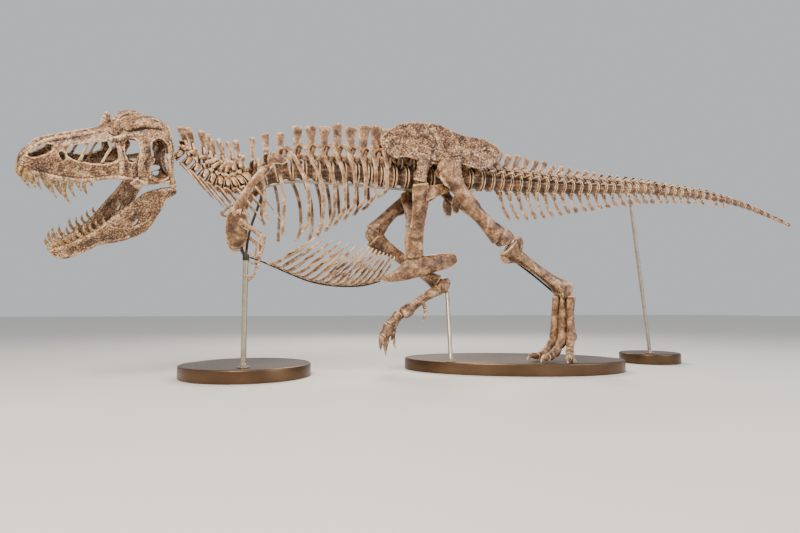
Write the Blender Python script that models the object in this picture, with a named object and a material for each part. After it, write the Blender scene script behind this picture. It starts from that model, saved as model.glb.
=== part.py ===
import bpy
import bmesh
from collections import namedtuple
from math import copysign, cos, pi, radians, sin
from mathutils import Matrix, Vector

# Mounted tyrannosaurus skeleton, striding toward -X. Metres, floor at Z = 0, the animal's left side is -Y.
# The origin lies on the floor under the hip joints.
GAP = 0.0004             # clearance kept between bones, and between bone and metal
FLAT = radians(0.02)     # faces closer than this to one plane are merged after a cut

# Line of the vertebral centres, from behind the skull to the tip of the tail
SPINE_LINE = [
    (-3.54, -0.31, 2.835), (-3.41, -0.265, 2.725), (-3.27, -0.21, 2.62), (-3.15, -0.16, 2.54),
    (-3.03, -0.12, 2.49), (-2.87, -0.07, 2.47), (-2.72, -0.03, 2.51), (-2.54, 0, 2.595), (-2.35, 0, 2.67),
    (-2.15, 0, 2.73), (-1.96, 0, 2.76), (-1.42, 0, 2.775), (-0.80, 0, 2.775), (-0.20, 0, 2.786),
    (0.50, 0, 2.82), (1.37, 0, 2.82), (2.08, 0, 2.83), (2.83, 0, 2.855), (3.41, 0, 2.885), (4.02, 0, 2.89),
    (4.87, 0, 2.865), (5.53, 0, 2.79), (5.99, 0, 2.70), (6.46, 0, 2.57), (6.92, 0, 2.43)]

# Regions of the column: first and last X of the centres, number of vertebrae
NECK = (-3.46, -2.64, 10)
BACK = (-2.53, -0.38, 13)
SACRUM = (-0.19, 0.61, 5)
TAIL = (0.79, 6.86, 40)
TAIL_PARTS = 4

# Head frame: point on the neck joint, then the turns of the head
HEAD_POINT = Vector((-3.60, -0.30, 2.832))
HEAD_YAW = radians(27)
HEAD_PITCH = radians(12.4)
HEAD_ROLL = radians(27)

# Leg joints (the left leg is planted and trails, the right leg swings forward clear of the base)
# turn is how far the foot points outward
LEFT_LEG = dict(side=-1, hip=(0, -0.42, 2.80), knee=(0.83, -0.47, 1.825), ankle=(1.85, -0.40, 1.17),
                ball=(1.82, -0.38, 0.44), turn=radians(34))
RIGHT_LEG = dict(side=1, hip=(0, 0.42, 2.80), knee=(-0.88, 0.45, 1.99), ankle=(0.21, 0.27, 1.235),
                 ball=(-0.42, 0.23, 0.845), toe=(-0.71, 0.24, 0.235), turn=radians(27))

# Stand
BASE_FRONT = dict(centre=(-2.59, 0.38), radii=(0.86, 0.86), height=0.17, turn=0)
BASE_MIDDLE = dict(centre=(1.24, 0.08), radii=(1.615, 0.92), height=0.17, turn=radians(-24))
BASE_TAIL = dict(centre=(4.00, 0.35), radii=(0.48, 0.48), height=0.17, turn=0)
BASE_SIDES = 30
BASE_BEVEL = 0.022
LIFT = 0.0003            # clearance under the feet of the rods
FLANGE = 0.016           # thickness of those feet
FRONT_ROD = (-2.635, -0.16)
ANKLE_ROD = (0.15, -0.17)
HEEL_ROD = (1.70, -0.81)
TAIL_ROD = (3.88, 0.20)
HUB = 1.53               # height where the front rod ends in its bracket
ROD = 0.034              # radii of the front rod, the other rods, the bars and the thin rods
SLIM_ROD = 0.030
BAR = 0.020
THIN = 0.016
CLEAR_OF_BONE = 0.001

# Colour, roughness and metallic value of each finish
FINISHES = {
    "bone": ((0.30, 0.17, 0.085, 1), 0.45, 0.0),
    "bronze": ((0.16, 0.10, 0.065, 1), 0.50, 0.85),
    "steel": ((0.33, 0.31, 0.28, 1), 0.40, 0.9),
    "dark_steel": ((0.06, 0.055, 0.05, 1), 0.50, 0.8)}

X_AXIS = Vector((1, 0, 0))
UP = Vector((0, 0, 1))
LEFT = Vector((0, -1, 0))

for old in list(bpy.data.objects):
    bpy.data.objects.remove(old, do_unlink=True)
MODEL = bpy.data.collections.new("Tyrannosaurus skeleton")
bpy.context.scene.collection.children.link(MODEL)


# Numbers along keys

def between(keys, x):
    """Value at x on straight runs between keys (x, value or tuple of values)."""
    if x <= keys[0][0]:
        return keys[0][1:]
    for a, b in zip(keys, keys[1:]):
        if x <= b[0]:
            t = (x - a[0]) / (b[0] - a[0])
            return tuple(p + (q - p) * t for p, q in zip(a[1:], b[1:]))
    return keys[-1][1:]


def smooth(keys, per_span):
    """Points of a smooth curve through tuples of any length."""
    rows = []
    for i in range(len(keys) - 1):
        k0 = keys[max(i - 1, 0)]
        k1 = keys[i]
        k2 = keys[i + 1]
        k3 = keys[min(i + 2, len(keys) - 1)]
        for j in range(per_span):
            t = j / per_span
            rows.append(tuple(0.5 * (2 * b + (c - a) * t + (2 * a - 5 * b + 4 * c - d) * t * t
                                     + (3 * b - a - 3 * c + d) * t ** 3)
                              for a, b, c, d in zip(k0, k1, k2, k3)))
    rows.append(tuple(keys[-1]))
    return rows


SPINE_POINTS = [Vector(p) for p in smooth(SPINE_LINE, 8)]


def on_spine(x):
    """Point and direction of the column where it passes x."""
    for p, q in zip(SPINE_POINTS, SPINE_POINTS[1:]):
        if x <= q.x:
            break
    direction = (q - p).normalized()
    return p + (q - p) * ((x - p.x) / (q.x - p.x)), direction


# What a vertebra measures: body radius, height of its spine's top, half length of the spine, how far it leans
# back, reach and rise of the side processes, and roll of the whole vertebra
Size = namedtuple("Size", "radius height fore_aft lean reach rise roll")


def size_at(x):
    return Size(*between(COLUMN_SIZES, x))


# Solids

def solid(rings):
    """Closed loft through rings of points, each end closed by a cap or a single point."""
    bm = bmesh.new()
    loops = [[bm.verts.new(p) for p in ring] for ring in rings]
    for a, b in zip(loops, loops[1:]):
        if len(a) == 1 or len(b) == 1:
            tip = a[0] if len(a) == 1 else b[0]
            loop = b if len(a) == 1 else a
            for i in range(len(loop)):
                bm.faces.new((loop[i], loop[(i + 1) % len(loop)], tip))
            continue
        for i in range(len(a)):
            j = (i + 1) % len(a)
            bm.faces.new((a[i], a[j], b[j], b[i]))
    for loop in (loops[0], loops[-1]):
        if len(loop) > 1:
            bm.faces.new(loop)
    bmesh.ops.triangulate(bm, faces=bm.faces)
    bmesh.ops.recalc_face_normals(bm, faces=bm.faces)
    mesh = bpy.data.meshes.new("solid")
    bm.to_mesh(mesh)
    bm.free()
    obj = bpy.data.objects.new("solid", mesh)
    bpy.context.scene.collection.objects.link(obj)
    return obj


def oval(centre, wide, deep, half_wide, half_deep, sides, start):
    """Ring of points round a centre, the first one a share of a step off the wide axis."""
    step = 2 * pi / sides
    turns = [step * (i + start) for i in range(sides)]
    return [centre + wide * (half_wide * cos(a)) + deep * (half_deep * sin(a)) for a in turns]


def rod(stations, sides, hint, pointed=False, start=0.5):
    """Loft along stations (x, y, z, half_wide, half_deep); hint is roughly the wide direction."""
    points = [Vector(s[:3]) for s in stations]
    rings = []
    for i, station in enumerate(stations):
        ahead = points[min(i + 1, len(points) - 1)]
        behind = points[max(i - 1, 0)]
        along = (ahead - behind).normalized()
        wide = (hint - along * hint.dot(along)).normalized()
        deep = along.cross(wide)
        rings.append(oval(points[i], wide, deep, station[3], station[4], sides, start))
    if pointed:
        rings[-1] = [points[-1]]
    return solid(rings)


def bone(keys, sides, hint, per_span=2, pointed=False):
    """Smooth rod through a few keys (x, y, z, half_wide, half_deep)."""
    return rod(smooth(keys, per_span), sides, hint, pointed)


def mirrored(keys, side):
    """The same keys on the other side of the body; side is +1 for the right, -1 for the left."""
    return [(k[0], k[1] * side) + tuple(k[2:]) for k in keys]


def evaluated(obj):
    graph = bpy.context.evaluated_depsgraph_get()
    return bpy.data.meshes.new_from_object(obj.evaluated_get(graph))


def merge_flat(obj):
    """Merge faces that lie in one plane, and split the result into triangles again."""
    bm = bmesh.new()
    bm.from_mesh(obj.data)
    bmesh.ops.dissolve_limit(bm, angle_limit=FLAT, verts=bm.verts, edges=bm.edges)
    bmesh.ops.triangulate(bm, faces=bm.faces)
    if all(len(edge.link_faces) == 2 for edge in bm.edges):
        bm.to_mesh(obj.data)
    bm.free()


def largest_surface(obj):
    """Keep the biggest closed surface, so that a sealed hollow or a loose scrap goes."""
    bm = bmesh.new()
    bm.from_mesh(obj.data)
    seen = set()
    groups = []
    for start in bm.faces:
        if start in seen:
            continue
        seen.add(start)
        group = [start]
        for face in group:
            for edge in face.edges:
                for other in edge.link_faces:
                    if other not in seen:
                        seen.add(other)
                        group.append(other)
        groups.append(group)
    groups.sort(key=lambda g: sum(f.calc_area() for f in g))
    for group in groups[:-1]:
        bmesh.ops.delete(bm, geom=group, context="FACES")
    bm.to_mesh(obj.data)
    bm.free()


def boolean(obj, tools, operation):
    """Union or difference with a whole collection, by the MANIFOLD solver, as EXACT takes minutes here."""
    work = bpy.data.collections.new("work")
    bpy.context.scene.collection.children.link(work)
    for tool in tools:
        for owner in list(tool.users_collection):
            owner.objects.unlink(tool)
        work.objects.link(tool)
    cut = obj.modifiers.new("join", "BOOLEAN")
    cut.operation = operation
    cut.operand_type = "COLLECTION"
    cut.collection = work
    cut.solver = "MANIFOLD"
    mesh = evaluated(obj)
    obj.modifiers.clear()
    obj.data = mesh
    for tool in tools:
        bpy.data.objects.remove(tool, do_unlink=True)
    bpy.data.collections.remove(work)
    largest_surface(obj)
    if operation == "UNION":
        merge_flat(obj)


def node(name, pieces, finish="bone"):
    """One closed body made of overlapping pieces, with its own material."""
    obj = pieces[0]
    if len(pieces) > 1:
        boolean(obj, pieces[1:], "UNION")
    obj.name = name
    obj.data.name = name
    colour, roughness, metallic = FINISHES[finish]
    material = bpy.data.materials.new(name + "_" + finish)
    material.use_nodes = True
    shader = material.node_tree.nodes["Principled BSDF"]
    shader.inputs["Base Color"].default_value = colour
    shader.inputs["Roughness"].default_value = roughness
    shader.inputs["Metallic"].default_value = metallic
    obj.data.materials.clear()
    obj.data.materials.append(material)
    for owner in list(obj.users_collection):
        owner.objects.unlink(obj)
    MODEL.objects.link(obj)
    return obj


def swollen(obj):
    """Copy of a body whose faces all stand GAP further out."""
    copy = bpy.data.objects.new("swollen", obj.data.copy())
    bpy.context.scene.collection.objects.link(copy)
    bm = bmesh.new()
    bm.from_mesh(copy.data)
    bm.normal_update()
    moves = []
    for vert in bm.verts:
        normals = [f.normal for f in vert.link_faces if f.calc_area() > 1e-9]
        mean = sum(normals, Vector())
        if mean.length < 1e-6:
            moves.append(Vector())
            continue
        mean.normalize()
        reach = max(0.35, min(mean.dot(n) for n in normals))
        moves.append(mean * (GAP / reach))
    for vert, move in zip(bm.verts, moves):
        vert.co += move
    bm.to_mesh(copy.data)
    bm.free()
    return copy


def boxes_meet(a, b):
    for axis in range(3):
        low_a = min(v.co[axis] for v in a.data.vertices)
        high_a = max(v.co[axis] for v in a.data.vertices)
        low_b = min(v.co[axis] for v in b.data.vertices)
        high_b = max(v.co[axis] for v in b.data.vertices)
        if low_a > high_b + GAP or low_b > high_a + GAP:
            return False
    return True


def clear(obj, *others):
    """Cut a body where it touches others, so that it meets them face to face across the gap."""
    for other in others:
        if boxes_meet(obj, other):
            boolean(obj, [swollen(other)], "DIFFERENCE")


# Vertebral column: a beaded loft whose faces are extruded into spines, processes, ribs and chevrons

# Ring round a vertebral body in shares of its radius, left and up
FULL_RING = [(0.5, 0.87), (1.0, 0.0), (0.5, -0.87), (-0.5, -0.87), (-1.0, 0.0), (-0.5, 0.87)]
FULL_FACES = dict(left=0, low_left=1, below=2, low_right=3, right=4, top=5)
HALF_RING = [(0.0, 0.87), (0.5, 0.87), (1.0, 0.0), (0.5, -0.87), (0.0, -0.87)]
HALF_FACES = dict(top=0, left=1)
WAIST = 0.82
# Spine of a vertebra: share of its height, share of its length, thickness in radii. Its top is a knob.
SPINE_STEPS = [(0.45, 0.62, 0.32), (0.86, 0.95, 0.28), (1.0, 0.72, 0.24)]
LOW_SPINE = 1.3          # a spine lower than this, in radii, is left out, and so is a process this short
SHORT_PROCESS = 1.2


def frame_at(x):
    """Centre, direction, left side and up of the column at x, rolled as the neck is."""
    centre, along = on_spine(x)
    up = (UP - along * UP.dot(along)).normalized()
    up = Matrix.Rotation(size_at(x).roll, 3, along) @ up
    return centre, along, along.cross(up), up


def beads(centres, step, side=0):
    """Mesh of the vertebral bodies, with two runs of faces for each: front and rear."""
    bm = bmesh.new()
    shape = HALF_RING if side else FULL_RING
    spots = []
    for x in centres:
        spots += [(x - step * 0.5, 1.0), (x - step * 0.1, WAIST)]
    spots.append((centres[-1] + step * 0.5, 1.0))
    loops = []
    for spot, share in spots:
        centre, along, left, up = frame_at(spot)
        radius = size_at(spot).radius * share
        out = -side if side else 1
        loop = [bm.verts.new(centre + left * (out * w * radius) + up * (u * radius)) for w, u in shape]
        if side:
            for vert in loop:
                vert.co.y = side * max(side * vert.co.y, GAP / 2)
        loops.append(loop)
    runs = []
    for a, b in zip(loops, loops[1:]):
        runs.append([])
        for i in range(len(a)):
            j = (i + 1) % len(a)
            runs[-1].append(bm.faces.new((a[i], a[j], b[j], b[i])))
    bm.faces.new(loops[0])
    bm.faces.new(loops[-1])
    bmesh.ops.recalc_face_normals(bm, faces=bm.faces)
    return bm, runs


def grow(bm, face, along, steps):
    """Extrude a four-sided face through steps (centre, half length along, half width across, across)."""
    middle = face.calc_center_median()
    signs = []
    across = steps[0][3]
    for vert in face.verts:
        offset = vert.co - middle
        signs.append((vert.co.copy(), copysign(1, offset.dot(along)), copysign(1, offset.dot(across))))
    for centre, half_along, half_across, across in steps:
        face = bmesh.ops.extrude_discrete_faces(bm, faces=[face])["faces"][0]
        placed = []
        for vert in face.verts:
            a, b = min(signs, key=lambda row: (row[0] - vert.co).length)[1:]
            vert.co = centre + along * (a * half_along) + across * (b * half_across)
            placed.append((vert.co.copy(), a, b))
        signs = placed


def finished(bm):
    """Closed object from an extruded mesh."""
    bmesh.ops.triangulate(bm, faces=bm.faces)
    bmesh.ops.recalc_face_normals(bm, faces=bm.faces)
    mesh = bpy.data.meshes.new("solid")
    bm.to_mesh(mesh)
    bm.free()
    obj = bpy.data.objects.new("solid", mesh)
    bpy.context.scene.collection.objects.link(obj)
    return obj


def neural_spine(bm, face, x, half_of=0):
    """Blade above a vertebral body; half_of is the side that a split column keeps."""
    size = size_at(x)
    centre, along, left, up = frame_at(x)
    if size.height < size.radius * LOW_SPINE:
        return
    steps = []
    for share, length, thick in SPINE_STEPS:
        spot = centre + up * (size.radius + (size.height - size.radius) * share) + along * (size.lean * share)
        width = size.radius * thick
        if half_of:
            width = width / 2
            spot.y = half_of * (width + GAP / 2)
        steps.append((spot, size.fore_aft * length, width, left))
    grow(bm, face, along, steps)


def process(bm, face, x, out):
    """Side process of a vertebra; out is +1 to the animal's left."""
    size = size_at(x)
    centre, along, left, up = frame_at(x)
    if size.reach < size.radius * SHORT_PROCESS:
        return
    tip = centre + left * (out * size.reach) + up * size.rise
    grow(bm, face, along, [(tip, size.radius * 0.24, size.radius * 0.16, up)])


def spread(region):
    """Centres of a region's vertebrae, evenly along X, and their length."""
    first, last, count = region
    step = (last - first) / (count - 1)
    return [first + step * i for i in range(count)], step


# Sizes by X
COLUMN_SIZES = [
    (-3.47, 0.075, 0.16, 0.036, -0.06, 0.10, 0.06, radians(24)),
    (-3.38, 0.080, 0.27, 0.036, -0.32, 0.12, 0.05, radians(22)),
    (-3.28, 0.084, 0.36, 0.034, -0.37, 0.14, 0.06, radians(18)),
    (-3.10, 0.092, 0.50, 0.030, -0.30, 0.18, 0.07, radians(12)),
    (-2.91, 0.100, 0.56, 0.026, -0.15, 0.20, 0.09, radians(5)),
    (-2.73, 0.110, 0.57, 0.026, 0.03, 0.22, 0.12, 0),
    (-2.53, 0.125, 0.54, 0.044, 0.17, 0.24, 0.21, 0),
    (-2.20, 0.133, 0.55, 0.062, 0.08, 0.25, 0.26, 0),
    (-1.90, 0.140, 0.63, 0.080, 0.02, 0.26, 0.30, 0),
    (-1.00, 0.158, 0.71, 0.094, 0.02, 0.24, 0.31, 0),
    (-0.40, 0.168, 0.72, 0.096, 0.02, 0.215, 0.28, 0),
    (0.60, 0.168, 0.55, 0.098, 0.06, 0.26, 0.10, 0),
    (0.90, 0.162, 0.47, 0.074, 0.10, 0.28, 0.08, 0),
    (1.50, 0.148, 0.40, 0.056, 0.12, 0.25, 0.07, 0),
    (2.10, 0.130, 0.30, 0.050, 0.12, 0.20, 0.05, 0),
    (3.00, 0.103, 0.20, 0.050, 0.10, 0.13, 0.03, 0),
    (4.20, 0.075, 0.12, 0.050, 0.07, 0.06, 0.02, 0),
    (5.60, 0.050, 0.068, 0.045, 0.04, 0.04, 0.0, 0),
    (6.90, 0.026, 0.024, 0.03, 0.02, 0.02, 0.0, 0)]


# Neck with its long thin ribs

def neck():
    centres, step = spread(NECK)
    bm, runs = beads(centres, step)
    for i, x in enumerate(centres):
        centre, _, left, up = frame_at(x)
        radius = size_at(x).radius
        rear = runs[2 * i + 1]
        neural_spine(bm, rear[FULL_FACES["top"]], x)
        if i < 2 or i == len(centres) - 1:
            continue
        for out, word in ((1, "left"), (-1, "right")):
            process(bm, rear[FULL_FACES[word]], x, out)
            reach = 0.20 + 0.035 * i
            root = centre + left * (out * radius) - up * (radius * 0.75)
            sag = Vector((reach * 0.12, 0, -reach * 0.36)) + left * (out * 0.05)
            drop = Vector((reach * (0.45 + 0.05 * i), 0, -reach * 0.85)) + left * (out * 0.06)
            slope = drop.normalized().cross(left).normalized()
            grow(bm, rear[FULL_FACES["low_" + word]], slope, [
                (root + sag, 0.016, 0.018, left), (root + drop, 0.007, 0.008, left)])
    return node("neck", [finished(bm)])


# Rib cage, split down the middle of the column

RIB_COUNT = 10
# Keys by rib number: half width at the bulge, height and half width of the tip, sweeps of the bulge and tip
RIB_SHAPE = [
    (0, 0.36, 2.04, 0.34, 0.10, 0.15), (1, 0.42, 1.82, 0.38, 0.16, 0.15), (2, 0.48, 1.85, 0.41, 0.29, 0.21),
    (3, 0.54, 1.86, 0.45, 0.28, 0.22), (4, 0.58, 1.93, 0.47, 0.24, 0.16), (6, 0.60, 2.11, 0.49, 0.14, 0.05),
    (8, 0.57, 2.27, 0.48, 0.06, -0.02), (9, 0.54, 2.36, 0.46, 0.04, -0.07)]
THIN_RIBS = 2            # the first ribs are thinner
# Stations down a rib: share of its drop, of its bulge and of its sweep, half thickness
RIB_STEPS = [(0.22, 0.90, 0.5, 0.022), (0.50, 1.0, 0.92, 0.018), (0.78, 0.93, 0.95, 0.015)]


def rib_steps(number, x, side):
    """Process and rib of one side as one run of sections, out to the rib's tip."""
    bulge, tip_z, tip_y, bulge_sweep, tip_sweep = between(RIB_SHAPE, number)
    centre = on_spine(x)[0]
    size = size_at(x)
    shoulder = centre.z + size.rise
    drop = shoulder - tip_z
    thick = 0.026 if number < THIN_RIBS else 0.032
    places = [(0.0, side * size.reach * 0.72, shoulder - 0.035, size.radius * 0.40, size.radius * 0.24),
              (0.02, side * (size.reach + 0.03), shoulder - 0.01, thick * 1.2, 0.030)]
    for share, out, sweep, flat in RIB_STEPS:
        places.append((bulge_sweep * sweep, side * bulge * out, shoulder - drop * share, thick, flat))
    places.append((tip_sweep, side * tip_y, tip_z, 0.020, 0.013))
    steps = []
    for i, (sweep, y, z, wide, flat) in enumerate(places):
        ahead = places[min(i + 1, len(places) - 1)]
        behind = places[max(i - 1, 0)]
        run = Vector((0, ahead[1] - behind[1], ahead[2] - behind[2])).normalized()
        steps.append((Vector((centre.x + sweep, y, z)), wide, flat, Vector((0, -run.z, run.y))))
    return steps


def torso(side, name):
    """One side of the rib cage: half of each back vertebra with the ribs that grow from it."""
    centres, step = spread(BACK)
    bm, runs = beads(centres, step, side)
    for i, x in enumerate(centres):
        rear = runs[2 * i + 1]
        neural_spine(bm, rear[HALF_FACES["top"]], x, side)
        if i < RIB_COUNT:
            grow(bm, rear[HALF_FACES["left"]], X_AXIS, rib_steps(i, x, side))
        else:
            process(bm, rear[HALF_FACES["left"]], x, -side)
    return node(name, [finished(bm)])


SACRAL_REACH = 0.31      # from the mid-plane out to the inner faces of the hip blades


def sacrum():
    centres, step = spread(SACRUM)
    bm, runs = beads(centres, step)
    for i, x in enumerate(centres):
        centre, along, left, up = frame_at(x)
        rear = runs[2 * i + 1]
        neural_spine(bm, rear[FULL_FACES["top"]], x)
        for out, word in ((1, "left"), (-1, "right")):
            tip = centre + left * (out * SACRAL_REACH) + up * 0.15
            grow(bm, rear[FULL_FACES[word]], along, [(tip, 0.045, 0.055, up)])
    return node("sacrum", [finished(bm)])


# Tail with its chevrons

CHEVRON_LAST = 30
# Chevrons by X: depth, length of the foot, sweep toward the tail's tip
CHEVRON_SIZES = [
    (0.95, 0.42, 0.07, 0.16), (1.50, 0.40, 0.08, 0.14), (2.10, 0.32, 0.09, 0.11), (2.80, 0.24, 0.11, 0.07),
    (3.60, 0.17, 0.12, 0.05), (4.80, 0.11, 0.09, 0.02), (6.00, 0.06, 0.06, 0.01)]


def chevron(bm, face, x, step):
    """Blood bone hung under the joint behind a tail vertebra."""
    spot = x + step * 0.35
    centre, along, left, up = frame_at(spot)
    radius = size_at(spot).radius
    depth, foot, sweep = between(CHEVRON_SIZES, spot)
    grow(bm, face, along, [
        (centre + along * (sweep * 0.5) - up * (radius + depth * 0.6), 0.028, 0.015, left),
        (centre + along * sweep - up * (radius + depth), foot / 2, 0.011, left)])


def tail(part):
    centres, step = spread(TAIL)
    share = len(centres) // TAIL_PARTS
    own = centres[part * share:(part + 1) * share]
    bm, runs = beads(own, step)
    for i, x in enumerate(own):
        rear = runs[2 * i + 1]
        neural_spine(bm, rear[FULL_FACES["top"]], x)
        for out, word in ((1, "left"), (-1, "right")):
            process(bm, rear[FULL_FACES[word]], x, out)
        number = part * share + i
        if 0 < number < CHEVRON_LAST:
            chevron(bm, rear[FULL_FACES["below"]], x, step)
    return node("tail_%d" % (part + 1), [finished(bm)])


# Head: s runs forward along the skull, w to the animal's left, n toward the roof

def head_axes():
    forward = Vector((-cos(HEAD_YAW) * cos(HEAD_PITCH), -sin(HEAD_YAW) * cos(HEAD_PITCH), -sin(HEAD_PITCH)))
    level = forward.cross(UP).normalized()
    if level.y > 0:
        level = -level
    roof = level.cross(forward)
    if roof.z < 0:
        roof = -roof
    normal = roof * cos(HEAD_ROLL) + level * sin(HEAD_ROLL)
    leftward = level * cos(HEAD_ROLL) - roof * sin(HEAD_ROLL)
    return forward, leftward, normal


FORWARD, LEFTWARD, NORMAL = head_axes()


def head(s, w, n):
    return HEAD_POINT + FORWARD * s + LEFTWARD * w + NORMAL * n


# Stations of the skull: s, roof, lower edge, half widths of roof, cheek and lower edge
SKULL = [
    (1.50, -0.09, -0.17, 0.03, 0.05, 0.05), (1.465, -0.03, -0.19, 0.05, 0.09, 0.09),
    (1.385, 0.05, -0.22, 0.06, 0.12, 0.125), (1.25, 0.12, -0.26, 0.06, 0.14, 0.145),
    (1.08, 0.15, -0.30, 0.07, 0.16, 0.17), (0.94, 0.17, -0.31, 0.08, 0.19, 0.20),
    (0.80, 0.20, -0.275, 0.10, 0.22, 0.25), (0.65, 0.25, -0.265, 0.14, 0.26, 0.29),
    (0.52, 0.29, -0.30, 0.18, 0.31, 0.33), (0.40, 0.34, -0.34, 0.20, 0.36, 0.37),
    (0.28, 0.37, -0.33, 0.19, 0.38, 0.39), (0.15, 0.365, -0.30, 0.20, 0.39, 0.40),
    (0.05, 0.33, -0.28, 0.20, 0.37, 0.36)]


def skull_section(s, roof, low, w_roof, w_cheek, w_low):
    """Twelve points round the skull, the palate arched between the tooth rows."""
    cheek = low + (roof - low) * 0.55
    palate = low + 0.07
    shoulder = (w_roof + (w_cheek - w_roof) * 0.75, cheek + (roof - cheek) * 0.6)
    right = [(0, roof), (w_roof, roof - 0.02), shoulder, (w_cheek, cheek), (w_low, low + 0.03),
             (w_low - 0.035, low), (w_low * 0.45, palate)]
    ring = right + [(-w, n) for w, n in reversed(right[1:])]
    return [head(s, w, n) for w, n in ring]


def prism(outline, low, high, axis):
    """Cutter with an outline drawn in the head frame, from low to high along axis w or n."""
    if axis == "w":
        return solid([[head(s, w, n) for s, n in outline] for w in (low, high)])
    if axis == "n":
        return solid([[head(s, w, n) for s, w in outline] for n in (low, high)])
    return solid([[head(s, w, n) for w, n in outline] for s in (low, high)])


def round_outline(s, n, half_s, half_n, sides, tilt=0):
    points = []
    for i in range(sides):
        a = 2 * pi * i / sides
        x = half_s * cos(a)
        y = half_n * sin(a)
        points.append((s + x * cos(tilt) - y * sin(tilt), n + x * sin(tilt) + y * cos(tilt)))
    return points


def tooth(root, tip, curl, width, sides=4):
    """Backward-curved tooth from a root in the jaw to its tip; curl pushes the middle forward."""
    root = Vector(root)
    tip = Vector(tip)
    middle = (root + tip) / 2 + curl
    return rod([tuple(root) + (width, width * 0.7), tuple(middle) + (width * 0.75, width * 0.52),
                tuple(tip) + (width * 0.2, width * 0.2)], sides, FORWARD, pointed=True)


# Upper teeth from the front: place along the skull, length below the bone
UPPER_TEETH = [
    (1.46, 0.11), (1.42, 0.15), (1.385, 0.12), (1.335, 0.13), (1.27, 0.08), (1.215, 0.17), (1.16, 0.10),
    (1.10, 0.21), (1.045, 0.13), (0.98, 0.08), (0.925, 0.13), (0.87, 0.06)]
LOWER_TEETH = [
    (1.26, 0.11), (1.205, 0.15), (1.15, 0.17), (1.09, 0.15), (1.035, 0.08), (0.97, 0.16), (0.915, 0.12),
    (0.86, 0.09), (0.80, 0.10), (0.74, 0.06)]


def skull():
    body = solid([skull_section(*station) for station in SKULL])
    cuts = [
        prism(round_outline(1.315, 0.010, 0.112, 0.042, 8, radians(-24)), -0.4, 0.4, "w"),
        prism([(1.09, -0.02), (1.05, 0.06), (0.92, 0.10), (0.76, 0.115), (0.64, 0.14), (0.605, 0.08),
               (0.61, -0.05), (0.67, -0.09), (0.78, -0.115), (0.92, -0.105), (1.03, -0.08)], -0.5, 0.5, "w"),
        prism([(0.55, 0.15), (0.49, 0.19), (0.42, 0.16), (0.405, 0.06), (0.45, 0.0), (0.475, -0.06),
               (0.52, -0.07), (0.55, -0.02), (0.565, 0.06)], -0.5, 0.5, "w")]
    lateral = [(0.30, 0.13), (0.22, 0.17), (0.14, 0.10), (0.15, 0.0), (0.20, -0.04), (0.14, -0.12),
               (0.14, -0.23), (0.30, -0.24), (0.32, -0.13), (0.27, -0.04), (0.31, 0.02)]
    for side in (-1, 1):
        cuts.append(prism(lateral, side * 0.13, side * 0.5, "w"))
        cuts.append(prism(round_outline(0.215, side * 0.125, 0.085, 0.062, 8), 0.05, 0.5, "n"))
        cuts.append(prism(round_outline(side * 0.22, -0.07, 0.10, 0.13, 8), -0.1, 0.22, "s"))
    cuts.append(prism([(0.10, -0.10), (0.10, 0.10), (1.26, 0.05), (1.26, -0.05)], -0.5, -0.16, "n"))
    boolean(body, cuts, "DIFFERENCE")
    pieces = [body]
    rows = [(station[0], station[2], station[5]) for station in reversed(SKULL)]
    for side in (-1, 1):
        for s, length in UPPER_TEETH:
            low, width = between(rows, s)
            lateral_place = side * (width - 0.022)
            root = head(s, lateral_place, low + 0.035)
            tip = head(s, lateral_place * 0.96, low - length)
            pieces.append(tooth(root, tip, FORWARD * (0.012 + length * 0.12), 0.014 + length * 0.07))
        pieces.append(rod([tuple(head(0.60, side * 0.15, 0.24)) + (0.05, 0.03),
                           tuple(head(0.58, side * 0.17, 0.33)) + (0.025, 0.02)], 6, FORWARD))
    condyle = [tuple(head(0.12, 0, 0.02)) + (0.065, 0.065), tuple(head(0.0, 0.02, 0.0)) + (0.055, 0.055),
               tuple(head(-0.085, 0.06, -0.03)) + (0.045, 0.045)]
    pieces.append(rod(condyle, 8, LEFTWARD))
    return node("skull", pieces)


# Lower jaw: s, upper edge, lower edge, half width of the ramus' place, half thickness
JAW = [
    (1.30, -1.12, -1.16, 0.035, 0.030), (1.23, -1.085, -1.235, 0.060, 0.040),
    (1.13, -1.05, -1.23, 0.085, 0.042), (0.99, -0.985, -1.175, 0.115, 0.038),
    (0.82, -0.875, -1.09, 0.150, 0.034), (0.66, -0.72, -1.065, 0.200, 0.032),
    (0.50, -0.57, -1.01, 0.250, 0.032), (0.36, -0.43, -0.93, 0.300, 0.032),
    (0.24, -0.385, -0.74, 0.335, 0.034), (0.13, -0.365, -0.53, 0.355, 0.040),
    (0.02, -0.39, -0.45, 0.355, 0.030)]


def jaw(side, name):
    """Half of the lower jaw; side is +1 for the animal's left, as w is."""
    rings = []
    for s, top, low, place, thick in JAW:
        middle = (top + low) / 2
        inner = side * (place - thick)
        outer = side * (place + thick)
        rings.append([head(s, side * place, top), head(s, outer, top - (top - low) * 0.2),
                      head(s, outer, low + (top - low) * 0.2), head(s, side * place, low),
                      head(s, inner, low + (top - low) * 0.2), head(s, inner, middle),
                      head(s, inner, top - (top - low) * 0.2)])
    pieces = [solid(rings)]
    edge = [(station[0], station[1], station[3]) for station in reversed(JAW)]
    rise = (NORMAL * 0.9 + FORWARD * 0.42).normalized()
    for s, length in LOWER_TEETH:
        top, place = between(edge, s)
        root = head(s, side * place, top - 0.035)
        tip = head(s, side * place, top) + rise * length
        pieces.append(tooth(root, tip, FORWARD * (0.01 + length * 0.1), 0.012 + length * 0.07))
    return node(name, pieces)


# Shoulder girdle and arms

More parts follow.
